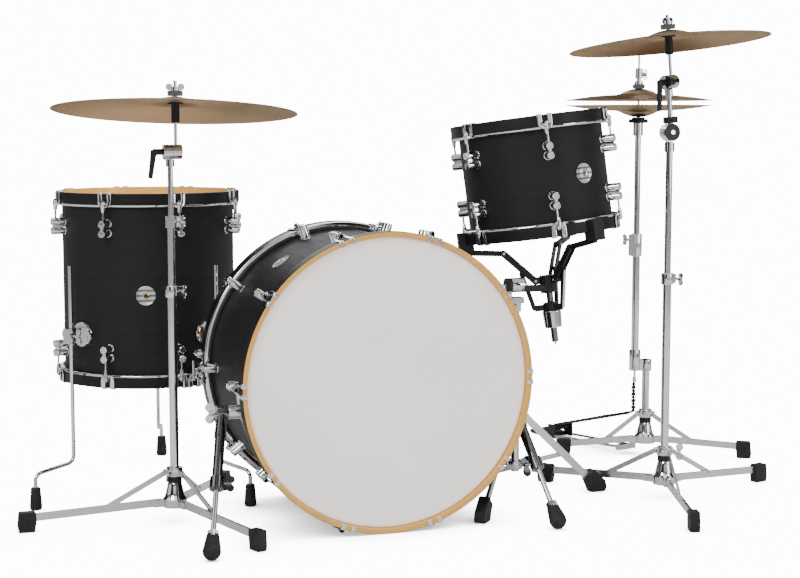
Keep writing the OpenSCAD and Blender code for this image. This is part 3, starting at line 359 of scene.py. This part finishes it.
def felt():
    """Grey felt with short fibres."""
    finish = Finish("felt", (0.13, 0.135, 0.14), Roughness=0.95, Sheen_Weight=0.5, Sheen_Roughness=0.5)
    fibres = finish.noise(900.0, detail=6, roughness=0.8)
    finish.color(finish.tint(fibres, (0.3, (0.035, 0.037, 0.04)), (0.7, (0.11, 0.113, 0.118))))
    finish.bump(fibres, 0.0005, 0.7)
    return finish.material


def badge_metal():
    """Satin disc with a dark ring near its edge and three dark lines across it."""
    finish = Finish("badge_metal", (0.72, 0.72, 0.71), Metallic=0.6)
    bright, dark = (0.74, 0.74, 0.73), (0.03, 0.03, 0.032)
    away = finish.node("VectorMath", operation="LENGTH")
    finish.link(finish.place(scale=(1, 1, 0)), away.inputs[0])
    rings = finish.tint(away.outputs["Value"], (0.0, bright), (0.0178, bright), (0.0181, dark),
                        (0.0192, dark), (0.0195, bright))
    split = finish.node("SeparateXYZ")
    finish.link(finish.place(), split.inputs[0])
    across = finish.node("Math", operation="ABSOLUTE")
    finish.link(split.outputs["X"], across.inputs[0])
    stripes = finish.tint(across.outputs[0], (0.0, dark), (0.0024, dark), (0.0026, bright),
                          (0.0088, bright), (0.009, dark), (0.0118, dark), (0.012, bright))
    blend = finish.node("Mix", data_type="RGBA", blend_type="MULTIPLY")
    blend.inputs["Factor"].default_value = 1.0
    finish.link(rings, blend.inputs["A"])
    finish.link(stripes, blend.inputs["B"])
    finish.color(blend.outputs["Result"])
    finish.rough(finish.spread(finish.noise(300.0), 0.3, 0.45))
    return finish.material


FINISH = {
    "shell": stained_wood("ebony_shell", (0.0105, 0.01, 0.0108), (0.0155, 0.0147, 0.0155), gloss=0.56),
    "hoop_black": stained_wood("hoop_black", (0.008, 0.0078, 0.0085), (0.013, 0.012, 0.0128), 220.0, 0.42),
    "maple": clear_maple("maple", (0.68, 0.345, 0.055), (0.57, 0.27, 0.036)),
    # The darker copy of the maple, for the inside of the shells, is painted shade inside the drums.
    "maple_in_painted_shade": clear_maple("maple_in_painted_shade", (0.43, 0.235, 0.05), (0.34, 0.175, 0.034)),
    "chrome": chrome(),
    "dark_chrome": chrome("dark_chrome", (0.16, 0.16, 0.17), 0.1, 0.22),
    "bar": plated_bar(),
    "black": cast_black(),
    "plastic": cast_black("black_plastic", (0.008, 0.008, 0.009), 0.5),
    "rubber": rubber(),
    "film": drum_film(),
    "bronze": bronze(),
    "felt": felt(),
    "badge": badge_metal(),
}


# ---------- shapes ----------

class Shape:
    """Vertices and faces put together before they become one Blender object."""

    def __init__(self):
        self.points, self.faces, self.finishes = [], [], []

    def add(self, points, faces, finish=0, at=None):
        start = len(self.points)
        for p in points:
            self.points.append(at @ Vector(p) if at is not None else Vector(p))
        finishes = finish if isinstance(finish, list) else [finish] * len(faces)
        for face, number in zip(faces, finishes):
            self.faces.append([start + i for i in face])
            self.finishes.append(number)
        return self

    def copy_in(self, other, at):
        """Another shape, placed by a matrix; a mirrored matrix turns the faces over."""
        flip = at.to_3x3().determinant() < 0
        faces = [f[::-1] for f in other.faces] if flip else other.faces
        return self.add(other.points, faces, list(other.finishes), at)


def frame_at(origin, x_axis, z_axis):
    """Matrix with its X and Z as given, made square."""
    z = Vector(z_axis).normalized()
    x = (Vector(x_axis) - Vector(x_axis).dot(z) * z).normalized()
    y = z.cross(x)
    matrix = Matrix((x, y, z)).transposed().to_4x4()
    matrix.translation = Vector(origin)
    return matrix


def shift(x=0, y=0, z=0):
    return Matrix.Translation((x, y, z))


def turn(degrees, axis):
    return Matrix.Rotation(math.radians(degrees), 4, axis)


def lathe(shape, profile, at=None, sides=32, finish=0, closed=False):
    """Revolves (radius, height) points about local Z. finish may give one number per stretch."""
    rings, points, faces, finishes = [], [], [], []
    for r, z in profile:
        if r < 1e-7:
            rings.append([len(points)])
            points.append((0, 0, z))
        else:
            rings.append(list(range(len(points), len(points) + sides)))
            points += [(r * math.cos(2 * math.pi * i / sides), r * math.sin(2 * math.pi * i / sides), z)
                       for i in range(sides)]
    pairs = list(zip(rings, rings[1:])) + ([(rings[-1], rings[0])] if closed else [])
    for number, (a, b) in enumerate(pairs):
        mark = finish[number] if isinstance(finish, (list, tuple)) else finish
        for i in range(sides):
            j = (i + 1) % sides
            if len(a) == 1 and len(b) == 1:
                continue
            if len(a) == 1:
                faces.append([a[0], b[j], b[i]])
            elif len(b) == 1:
                faces.append([a[i], a[j], b[0]])
            else:
                faces.append([a[i], a[j], b[j], b[i]])
            finishes.append(mark)
    return shape.add(points, faces, finishes, at)


def loft(shape, rings, at=None):
    """Joins rings of equally many points, each anticlockwise about the path, and caps both ends."""
    points = [p for ring in rings for p in ring]
    n = len(rings[0])
    faces = [[k * n + i, k * n + (i + 1) % n, (k + 1) * n + (i + 1) % n, (k + 1) * n + i]
             for k in range(len(rings) - 1) for i in range(n)]
    faces.append(list(range(n))[::-1])
    faces.append([(len(rings) - 1) * n + i for i in range(n)])
    return shape.add(points, faces, at=at)


def oval(width, depth, sides, power):
    """Outline between a round and a box; a higher power is squarer."""
    ring = []
    for i in range(sides):
        c, s = math.cos(2 * math.pi * i / sides), math.sin(2 * math.pi * i / sides)
        ring.append((width / 2 * math.copysign(abs(c) ** (2 / power), c),
                     depth / 2 * math.copysign(abs(s) ** (2 / power), s)))
    return ring


def rounded(outline, radius, steps):
    """Outline with each corner turned into an arc of about that radius."""
    points, n = [], len(outline)
    for i in range(n):
        before, here, after = (Vector(outline[(i + k) % n]) for k in (-1, 0, 1))
        a, b = (before - here), (after - here)
        cut = min(radius, a.length / 2.01, b.length / 2.01)
        start, end = here + a.normalized() * cut, here + b.normalized() * cut
        for k in range(steps + 1):
            t = k / steps
            points.append((1 - t) ** 2 * start + 2 * t * (1 - t) * here + t * t * end)
    return [tuple(p) for p in points]


def plate(shape, outline, thickness, at, edge):
    """Extrudes an outline in local X-Y, centred on Z, with eased edges."""
    ring = [Vector((*p, 0)) for p in outline]
    n = len(ring)
    area = sum(ring[i].x * ring[(i + 1) % n].y - ring[(i + 1) % n].x * ring[i].y for i in range(n))
    if area < 0:
        ring = ring[::-1]
    inner = []
    for i in range(n):
        a, b = (ring[i] - ring[i - 1]).normalized(), (ring[(i + 1) % n] - ring[i]).normalized()
        normal = Vector((-(a + b).y, (a + b).x, 0))
        inner.append(ring[i] + normal.normalized() * edge if normal.length > 1e-9 else ring[i])
    half = thickness / 2
    layers = [(inner, -half), (ring, -half + edge), (ring, half - edge), (inner, half)]
    return loft(shape, [[(p.x, p.y, z) for p in layer] for layer, z in layers], at)


def tube_along(shape, path, radius, sides, flat=1.0, side=None):
    """Bar along a path of points; radius may be a list, one number per point.

    side is the way its broad face runs, and flat thins the bar at right angles to that.
    """
    path = [Vector(p) for p in path]
    radii = radius if isinstance(radius, list) else [radius] * len(path)
    angles = [2 * math.pi * k / sides for k in range(sides)]
    rings = []
    for i, p in enumerate(path):
        along = (path[min(i + 1, len(path) - 1)] - path[max(i - 1, 0)]).normalized()
        if side is None:
            side = along.orthogonal().normalized()
        side = (side - side.dot(along) * along).normalized()
        other = along.cross(side)
        rings.append([p + radii[i] * (math.cos(a) * side + flat * math.sin(a) * other) for a in angles])
    return loft(shape, rings)


def bend(points, radius, steps=6):
    """Path with rounded corners."""
    points = [Vector(p) for p in points]
    path = [points[0]]
    for before, here, after in zip(points, points[1:], points[2:]):
        a, b = before - here, after - here
        cut = min(radius, a.length / 2.01, b.length / 2.01)
        start, end = here + a.normalized() * cut, here + b.normalized() * cut
        path += [(1 - t) ** 2 * start + 2 * t * (1 - t) * here + t * t * end
                 for t in (k / steps for k in range(steps + 1))]
    return path + [points[-1]]


def in_mm(points):
    """Points given in millimetres, in metres."""
    return [tuple(value * MM for value in point) for point in points]


def make(name, shape, finishes, body, stands_for, at, sharp=35):
    """One Blender object from a shape, riding on a body and standing for a CAD node."""
    mesh = bpy.data.meshes.new(name)
    mesh.from_pydata([tuple(p) for p in shape.points], [], shape.faces)
    for key in [finishes] if isinstance(finishes, str) else finishes:
        mesh.materials.append(FINISH[key])
    mesh.polygons.foreach_set("material_index", shape.finishes)
    mesh.shade_smooth()
    mesh.set_sharp_from_angle(angle=math.radians(sharp))
    mesh.update()
    piece = bpy.data.objects.new(name, mesh)
    bpy.context.scene.collection.objects.link(piece)
    piece.matrix_world = at
    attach(piece, body)
    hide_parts(stands_for)


# ---------- reading the frame ----------

SLOT = {row["node"]: row["material_slot"] for row in frame["record"]["subparts"]}


def body_of(node):
    return next(name for name, members in frame["record"]["behaviour"]["bodies"].items() if node in members)


def points_of(node):
    mesh = frame["nodes"][node].data
    flat = np.empty(len(mesh.vertices) * 3)
    mesh.vertices.foreach_get("co", flat)
    return flat.reshape(-1, 3)


def solids(node):
    """The points of each separate solid of a CAD node, in a fixed order."""
    mesh, points = frame["nodes"][node].data, points_of(node)
    _, label = np.unique(np.round(points, 5), axis=0, return_inverse=True)
    label = label.ravel()
    parent = list(range(label.max() + 1))

    def root(i):
        while parent[i] != i:
            parent[i] = parent[parent[i]]
            i = parent[i]
        return i

    for polygon in mesh.polygons:
        first = root(label[polygon.vertices[0]])
        for v in polygon.vertices[1:]:
            parent[root(label[v])] = first
    roots = np.array([root(i) for i in range(len(parent))])[label]
    groups = [points[roots == r] for r in np.unique(roots)]
    return sorted(groups, key=lambda g: tuple(np.round((g.min(0) + g.max(0)) / 2, 4)))


def middle(points):
    return Vector(((points.min(0) + points.max(0)) / 2).tolist())


class Drum:
    """A drum measured on its CAD nodes.

    frame stands at its middle with Z along its axis; half is the height of the shell's end and rim
    that of the hoops' outer face; ring_low is where the heads' metal rings end.
    """

    def __init__(self, name, up):
        self.body = body_of(name + "_shell")
        ends = [middle(g) for g in solids(name + "_heads")]
        centre = sum(ends, Vector()) / 2
        axis = (ends[1] - ends[0]).normalized()
        if axis.dot(up) < 0:
            axis.negate()
        self.frame = frame_at(centre, X if abs(axis.x) < 0.9 else Y, axis)
        _, self.shell_r, _, self.half = self.reach(name + "_shell")
        self.hoop_in, self.hoop_r, _, self.rim = self.reach(name + "_hoops")
        hoop = self.local(solids(name + "_hoops")[0])
        self.hoop_w = hoop[:, 2].max() - hoop[:, 2].min()
        heads = self.local(points_of(name + "_heads"))
        ring = heads[np.hypot(heads[:, 0], heads[:, 1]) > self.shell_r + 3 * MM]
        self.ring_low = np.abs(ring[:, 2]).min()

    def local(self, points):
        inverse = np.array(self.frame.inverted())
        return points @ inverse[:3, :3].T + inverse[:3, 3]

    def reach(self, node):
        """Lowest and highest radius and height of a node about the drum's axis."""
        p = self.local(points_of(node))
        r = np.hypot(p[:, 0], p[:, 1])
        return r.min(), r.max(), p[:, 2].min(), p[:, 2].max()

    def end(self, side):
        """Frame at a rim: local Z points out of the drum, along its axis."""
        flip = Matrix.Identity(4) if side > 0 else turn(180, "X")
        return self.frame @ flip @ shift(z=self.rim)

    def fittings(self, node):
        """(end, heading, height from the rim) of each solid of a node that is near this drum."""
        found = []
        for group in solids(node):
            p = self.local(np.array([middle(group)]))[0]
            if np.hypot(p[0], p[1]) < self.hoop_r + 50 * MM and abs(p[2]) < self.rim + 20 * MM:
                side = 1 if p[2] > 0 else -1
                heading = math.degrees(math.atan2(p[1] * side, p[0]))
                found.append((side, heading, abs(p[2]) - self.rim))
        return found


# ---------- drums ----------

HOOP_THICK = 11 * MM
ROD_OUT = 8 * MM  # from a hoop's outside to the middle of its tension rods
FINE = 256  # sides of the hoops, heads and cymbals


def hoop_shape(drum, bare):
    """Ply hoop with eased edges, stained but for the stretches of its section that stay bare maple."""
    r, width = drum.hoop_r, drum.hoop_w
    inner = r - HOOP_THICK
    ease, back_ease = 2.4 * MM, 1 * MM
    arc = [math.radians(15 * i) for i in range(7)]
    outside = [(r, -width + back_ease), (r, -ease)]
    corner = [(r - ease * (1 - math.sin(a)), -ease * (1 - math.cos(a))) for a in arc[-2::-1]]
    face = [(inner + ease * (1 - math.sin(a)), -ease * (1 - math.cos(a))) for a in arc]
    profile = outside + corner + face + [(inner, -width), (r - back_ease, -width)]
    marks = [1 if i in bare else 0 for i in range(len(profile))]
    return lathe(Shape(), profile, sides=FINE, finish=marks, closed=True)


def head_shape(drum):
    """Film that reaches out to the hoop, and the domed metal ring that the hoop presses on."""
    r, low, edge = drum.shell_r, drum.half - drum.rim, drum.hoop_in - 1.3 * MM
    flat = low + 0.6 * MM
    film = [(0, flat), (r * 0.5, flat), (r, flat), (edge - 2.5 * MM, low + 0.45 * MM),
            (edge - 0.8 * MM, low - 0.2 * MM), (edge, low - 1.8 * MM), (edge, -drum.hoop_w - 3 * MM)]
    shape = lathe(Shape(), film, sides=FINE)
    outer, inner = drum.hoop_r - 0.6 * MM, r + 0.9 * MM
    middle_r, half_width = (outer + inner) / 2, (outer - inner) / 2
    top, depth = -drum.hoop_w, drum.rim - drum.hoop_w - drum.ring_low
    ring = [(inner, top), (outer, top)]
    for a in (math.pi * i / 12 for i in range(13)):
        ring.append((middle_r + half_width * math.cos(a), top - depth * (0.15 + 0.85 * math.sin(a) ** 0.7)))
    return lathe(shape, ring[::-1], sides=FINE, finish=1, closed=True)


def lug_shape(reach):
    """Double lug: two turned posts with flanges and dished ends, and the web that joins them."""
    shape, half_gap = Shape(), 10.7 * MM
    tall = reach / MM
    post = in_mm([(0.0, 0), (10.2, 0), (10.4, 0.8), (10.0, 2.2), (8.9, 3.0), (8.9, 5.4), (8.3, 5.8),
                  (8.3, 7.0), (8.9, 7.4), (8.9, tall - 3.0), (8.3, tall - 1.2), (7.2, tall - 0.4),
                  (5.4, tall - 0.4), (4.8, tall - 1.6), (3.0, tall - 1.6), (2.6, tall - 0.7),
                  (0, tall - 0.6)])
    for side in (-1, 1):
        lathe(shape, post, shift(z=side * half_gap) @ turn(90, "Y"), 32)
    web_width = 7.6 * MM
    rings = []
    for size, x in ((1.0, 0.6 * MM), (1.0, reach - 5.5 * MM), (0.92, reach - 4.6 * MM)):
        rings.append([(x, y, z) for y, z in oval(web_width * size, 2 * half_gap, 20, 4)])
    return loft(shape, rings)


def claw_shape(drum):
    """Claw: two flat hooked ears with round pads, a yoke and the tapered barrel for the rod."""
    shape, width = Shape(), drum.hoop_w
    out, end = drum.hoop_r + 1.4 * MM, drum.hoop_r - 7.5 * MM
    over, low = 1.2 * MM, -width - 3 * MM
    rod_r = drum.hoop_r + ROD_OUT
    pad = in_mm([(0, -3), (4.6, -3), (5.3, -2.4), (5.4, 1.4), (4.7, 2.6), (2.7, 2.6), (2.4, 1.6), (0, 1.6)])
    for side in (-1, 1):
        y = side * 11.5 * MM
        hook = bend([(end, y, over), (out, y, over), (out, y, -width * 0.72),
                     (out + 1.5 * MM, y * 0.72, low)], 3.5 * MM, 5)
        half_widths = [4.0 * MM] + [5.4 * MM] * (len(hook) - 2) + [4.0 * MM]
        tube_along(shape, hook, half_widths, 18, flat=0.25, side=Y)
        lathe(shape, pad, shift(end + 1 * MM, y, 0), 20)
    yoke = [(out + 1.2 * MM, -8.5 * MM, low + 1 * MM), (rod_r - 1 * MM, -4 * MM, low - 1 * MM),
            (rod_r - 1 * MM, 4 * MM, low - 1 * MM), (out + 1.2 * MM, 8.5 * MM, low + 1 * MM)]
    tube_along(shape, bend(yoke, 5 * MM), 3.4 * MM, 14)
    barrel = in_mm([(0, -17), (3.6, -17), (4.2, -15.5), (5.6, -3), (6.1, 2), (6.1, 5), (5.4, 6), (0, 6)])
    return lathe(shape, barrel, shift(rod_r, 0, -width), 24)


def rod_shape(drum, low):
    """Tension rod: shank from a height up, washer, collar and square key head."""
    shape, shank_r, half = Shape(), 2.5 * MM, 2.9 * MM
    at = shift(drum.hoop_r + ROD_OUT, 0, -drum.hoop_w)
    shank_low, shank_top = low + drum.hoop_w, 8 * MM
    lathe(shape, [(0, shank_low), (shank_r, shank_low), (shank_r, shank_top), (0, shank_top)], at, 16)
    washer = in_mm([(0, 6), (5.2, 6), (5.4, 6.6), (5.2, 7.4), (4.2, 7.8), (4.2, 9), (0, 9)])
    lathe(shape, washer, at, 20)
    square = rounded([(-half, -half), (half, -half), (half, half), (-half, half)], 0.6 * MM, 2)
    return plate(shape, square, 4 * MM, at @ shift(z=9 * MM), 0.4 * MM)


def badge_shape():
    """Round badge: a thin disc with a raised rim, and the vent's eyelet in its middle."""
    disc = in_mm([(6.8, -0.4), (22.0, -0.6), (22.4, 0.2), (22.2, 1.0), (21.2, 1.5), (20.2, 1.3),
                  (19.6, 0.9), (9.5, 0.9), (8.8, 1.2), (6.8, 1.2)])
    shape = lathe(Shape(), disc, sides=64, closed=True)
    eyelet = in_mm([(4.4, -6.0), (6.6, -6.0), (6.9, 1.0), (7.6, 1.6), (7.4, 2.7), (6.4, 3.3),
                    (5.2, 3.0), (4.6, 2.0)])
    return lathe(shape, eyelet, sides=48, finish=1, closed=True)


def make_drum(name, up, lug_reach, bare, lugs, claws, rods, badges):
    """Hoops, heads, lugs, claws, tension rods and badge of one drum; the shell stays as drawn."""
    drum = Drum(name, up)
    for side, label in ((1, "top"), (-1, "bottom")):
        at = drum.end(side)
        make(f"{name}_hoop_{label}", hoop_shape(drum, bare), ("hoop_black", "maple"), drum.body,
             name + "_hoops", at)
        make(f"{name}_head_{label}", head_shape(drum), ("film", "chrome"), drum.body,
             name + "_heads", at)
    rod_low = min(height for _, _, height in drum.fittings(lugs)) + 18 * MM
    inverse = drum.frame.inverted()
    for label, node, pattern, at_rim in (("lugs", lugs, lug_shape(lug_reach), False),
                                         ("claws", claws, claw_shape(drum), True),
                                         ("tension_rods", rods, rod_shape(drum, rod_low), True)):
        group = Shape()
        for side, heading, height in drum.fittings(node):
            spot = turn(heading, "Z")
            if not at_rim:
                spot = spot @ shift(drum.shell_r - 0.4 * MM, 0, height)
            group.copy_in(pattern, inverse @ drum.end(side) @ spot)
        make(f"{name}_{label}", group, "chrome", drum.body, node, drum.frame)
    for side, heading, height in drum.fittings(badges):
        spot = drum.end(side) @ turn(heading, "Z") @ shift(drum.shell_r - 0.1 * MM, 0, height)
        make(name + "_badge", badge_shape(), ("badge", "chrome"), drum.body, badges,
             spot @ turn(90, "Y"))
    return drum


def paint(node, key, *others):
    """Gives a CAD node its finish; others are (finish, test) pairs on a polygon's centre and normal."""
    mesh = frame["nodes"][node].data
    mesh.materials.clear()
    for name in [key] + [name for name, _ in others]:
        mesh.materials.append(FINISH[name])
    for polygon in mesh.polygons:
        polygon.material_index = 0
        for number, (_, test) in enumerate(others, 1):
            if test(polygon.center, polygon.normal):
                polygon.material_index = number


# ---------- cymbals ----------

def cymbal_profile(r, bow, bell_r, bell_h, hole):
    """Section of a cymbal: bell, soft shoulder, bow and a thinner edge; height 0 is the rim."""
    thick, bell_steps, bow_steps = 1.5 * MM, 14, 24
    dome = (bell_r ** 2 + bell_h ** 2) / (2 * bell_h)
    outside = []
    for i in range(bell_steps + 1):
        x = hole + (bell_r - 4 * MM - hole) * i / bell_steps
        outside.append((x, bow + bell_h - dome + math.sqrt(dome ** 2 - x ** 2)))
    shoulder = bell_r + 6 * MM
    for i in range(bow_steps + 1):
        x = shoulder + (r - shoulder) * i / bow_steps
        u = (x - bell_r) / (r - bell_r)
        outside.append((x, bow * (1 - 0.25 * u - 0.75 * u * u)))
    inside = [(x, z - thick * (1 - 0.45 * max(0, (x / r) ** 4))) for x, z in outside]
    return outside[::-1] + inside


def make_cymbal(node, lean, sizes, upside_down=False):
    """A bronze cymbal in place of its CAD node; lean is in degrees about X, then about Y."""
    points = points_of(node)
    axis = Vector((0, 0, 1))
    axis.rotate(Matrix.Rotation(math.radians(lean[0]), 3, "X"))
    axis.rotate(Matrix.Rotation(math.radians(lean[1]), 3, "Y"))
    local = frame_at(middle(points), X, axis)
    inverse = np.array(local.inverted())
    p = points @ inverse[:3, :3].T + inverse[:3, 3]
    r = np.hypot(p[:, 0], p[:, 1])
    rim = p[r > r.max() - 0.5 * MM][:, 2]
    shape = lathe(Shape(), cymbal_profile(r.max(), *sizes), sides=FINE, closed=True)
    at = local @ shift(z=rim.max())
    if upside_down:
        at = local @ shift(z=rim.min()) @ turn(180, "X")
    make(node + "_piece", shape, "bronze", body_of(node), node, at, sharp=50)


# ---------- kept CAD pieces: finishes and eased edges ----------

# where the drawing's own origin lies in the frame, and the feet of the three stands
KIT = Vector((-0.197, -0.182, 0))
RIDE, CRASH, HIHAT = (KIT + Vector(p) * MM for p in ((-420, 47, 0), (714, -96, 0), (868, 367, 0)))


def kit(x, y, z):
    """A point of the drawing, given in millimetres, in the frame."""
    return KIT + Vector((x, y, z)) * MM


def soften(node, width):
    """Eases a kept node's sharp edges with modifiers only."""
    piece = frame["nodes"][node]
    weld = piece.modifiers.new("weld", "WELD")
    weld.merge_threshold = 0.01 * MM
    bevel = piece.modifiers.new("ease", "BEVEL")
    bevel.width, bevel.segments = width, 3
    bevel.limit_method, bevel.angle_limit = "ANGLE", math.radians(38)
    bevel.harden_normals = True


def band(low=-math.inf, high=math.inf):
    """Test for polygons between two heights, in millimetres."""
    return lambda c, n: low * MM < c.z < high * MM


def sleeve(upright, low):
    """Test for a cymbal seat's plastic sleeve: upright takes the lean off, low is its end in mm."""
    def test(c, n):
        z = (upright @ c).z
        on_side = abs((upright.to_3x3() @ n).z) < 0.99
        return low * MM < z < (low + 43) * MM and on_side or low * MM < z < (low + 1) * MM
    return test


def paint_stands():
    """Rubber feet, plastic joints and felts of the spurs, legs and stands."""
    for node in ("spur_rod_left", "spur_rod_right"):
        paint(node, "chrome", ("rubber", band(high=52)))
    for node in ("floor_tom_leg_left", "floor_tom_leg_right", "floor_tom_leg_rear"):
        paint(node, "chrome", ("rubber", band(high=51.5)))
    joint, knuckle = CRASH + Z * 857 * MM, 21 * MM
    leaning = shift(*joint) @ turn(5, "Y") @ shift(*-joint)
    paint("ride_tilter", "chrome", ("plastic", sleeve(Matrix.Identity(4), 879)))
    paint("crash_tilter", "chrome", ("plastic", sleeve(leaning, 1034)))
    paint("ride_upper_tube", "chrome", ("plastic", lambda c, n: (c - RIDE).xy.length > knuckle))
    paint("crash_boom", "chrome", ("plastic", lambda c, n: (leaning @ c - CRASH).xy.length > knuckle),
          ("black", lambda c, n: (c - joint).length < knuckle and n.y < -0.5))
    paint("hihat_upper_tube", "chrome", ("plastic", band(877.9, 888.1)), ("felt", band(888.1)))
    paint("hihat_clutch", "chrome", ("felt", band(954, 978.1)))
    paint("stand_collars", "chrome", ("rubber", band(88.5, 101.5)))
    paint("pedal_frame", "black", ("bar", lambda c, n: (c - HIHAT).xy.length < 285 * MM))


def paint_basket():
    """The rack tom's basket and the tilter that holds it, by place in the basket's own frame."""
    tilter = kit(371, -10, 506)
    tom = shift(*kit(423, 7, 755)) @ turn(-6.4, "Y") @ turn(-3.9, "X")
    basket = (tom @ shift(z=-135.5 * MM)).inverted()
    paint("basket_post", "black",
          ("chrome", lambda c, n: (c - tilter).yz.length < 18 * MM and abs(c.x - tilter.x) < 15.5 * MM),
          ("dark_chrome", lambda c, n: (basket @ c).xy.length < 8.2 * MM))
    paint("tom_stand_tube", "chrome",
          ("black", lambda c, n: c.x < tilter.x - 15.2 * MM and c.z > tilter.z - 17.5 * MM))
    paint("basket_links", "black",
          ("bar", lambda c, n: (basket @ c).xy.length > 42 * MM
           and (basket.to_3x3() @ n).dot((basket @ c).normalized()) > 0.5))
    for label, heading in (("left", 167), ("right", 287), ("rear", 47)):
        arm = turn(-heading, "Z") @ basket

        def rivets(c, n, arm=arm):
            return 9 * MM < abs((arm @ c).y) < 10 * MM and (arm @ c).z < -25 * MM

        def grip(c, n, arm=arm):
            return (arm @ c).x > 140 * MM and (arm @ c).z > -21 * MM

        paint("basket_arm_" + label, "black", ("chrome", rivets), ("plastic", grip))


def finish_hardware():
    """Finishes and eased edges of the nodes that stay as drawn; the shells are painted with the drums."""
    plain = {"plated_steel": "bar", "rubber": "rubber", "black_metal": "black",
             "dark_chrome": "dark_chrome", "felt": "felt"}
    for node in frame["nodes"]:
        if not frame["nodes"][node].hide_render and not node.endswith("_shell"):
            paint(node, plain.get(SLOT[node], "chrome"))
    paint_stands()
    paint_basket()
    # how wide the edges are eased, in millimetres
    for node, width in (("stand_feet", 5.0), ("stand_legs", 0.8), ("stand_hubs", 1.2), ("stand_collars", 1.0),
                        ("tube_clamps", 1.2), ("wing_bolts", 0.7), ("hihat_offset_block", 1.5),
                        ("basket_arm_left", 1.0), ("basket_arm_right", 1.0), ("basket_arm_rear", 1.0),
                        ("basket_links", 1.0), ("basket_knob", 1.5), ("basket_post", 1.0),
                        ("spur_brackets", 1.2), ("floor_tom_leg_brackets", 2.0), ("pedal_frame", 1.5),
                        ("hihat_footboard", 1.5), ("tom_stand_tube", 1.0), ("hihat_chain", 0.8)):
        soften(node, width * MM)


def make_all():
    make_stage()
    shared = ("drum_lugs", "hoop_claws", "tension_rods", "shell_badges")
    own = ("rack_tom_lugs", "rack_tom_claws", "rack_tom_tension_rods", "rack_tom_badge")
    # bare: the stretches of the hoop's section that show maple
    for name, up, lug_reach, bare, nodes in (("bass", -Y, 33 * MM, range(4, 15), shared),
                                             ("floor_tom", Z, 35 * MM, range(11, 15), shared),
                                             ("rack_tom", Z, 35 * MM, range(14, 15), own)):
        drum = make_drum(name, up, lug_reach, bare, *nodes)
        inverse, limit = drum.frame.inverted(), drum.shell_r - 1 * MM

        def inside(c, n, inverse=inverse, limit=limit):
            return (inverse @ c).xy.length < limit

        # The shell's inside takes the darker maple: painted shade inside the drum.
        paint(name + "_shell", "shell", ("maple_in_painted_shade", inside))
    finish_hardware()
    # bow, radius and height of the bell, radius of the hole
    large = (16 * MM, 60 * MM, 17 * MM, 7 * MM)
    small = (14 * MM, 52 * MM, 16 * MM, 6 * MM)
    make_cymbal("ride_cymbal", (-5.2, 2.4), large)
    make_cymbal("crash_cymbal", (-4.7, -3.6), large)
    make_cymbal("hihat_top_cymbal", (0, 0), small)
    make_cymbal("hihat_bottom_cymbal", (0, 0), small, upside_down=True)


make_all()
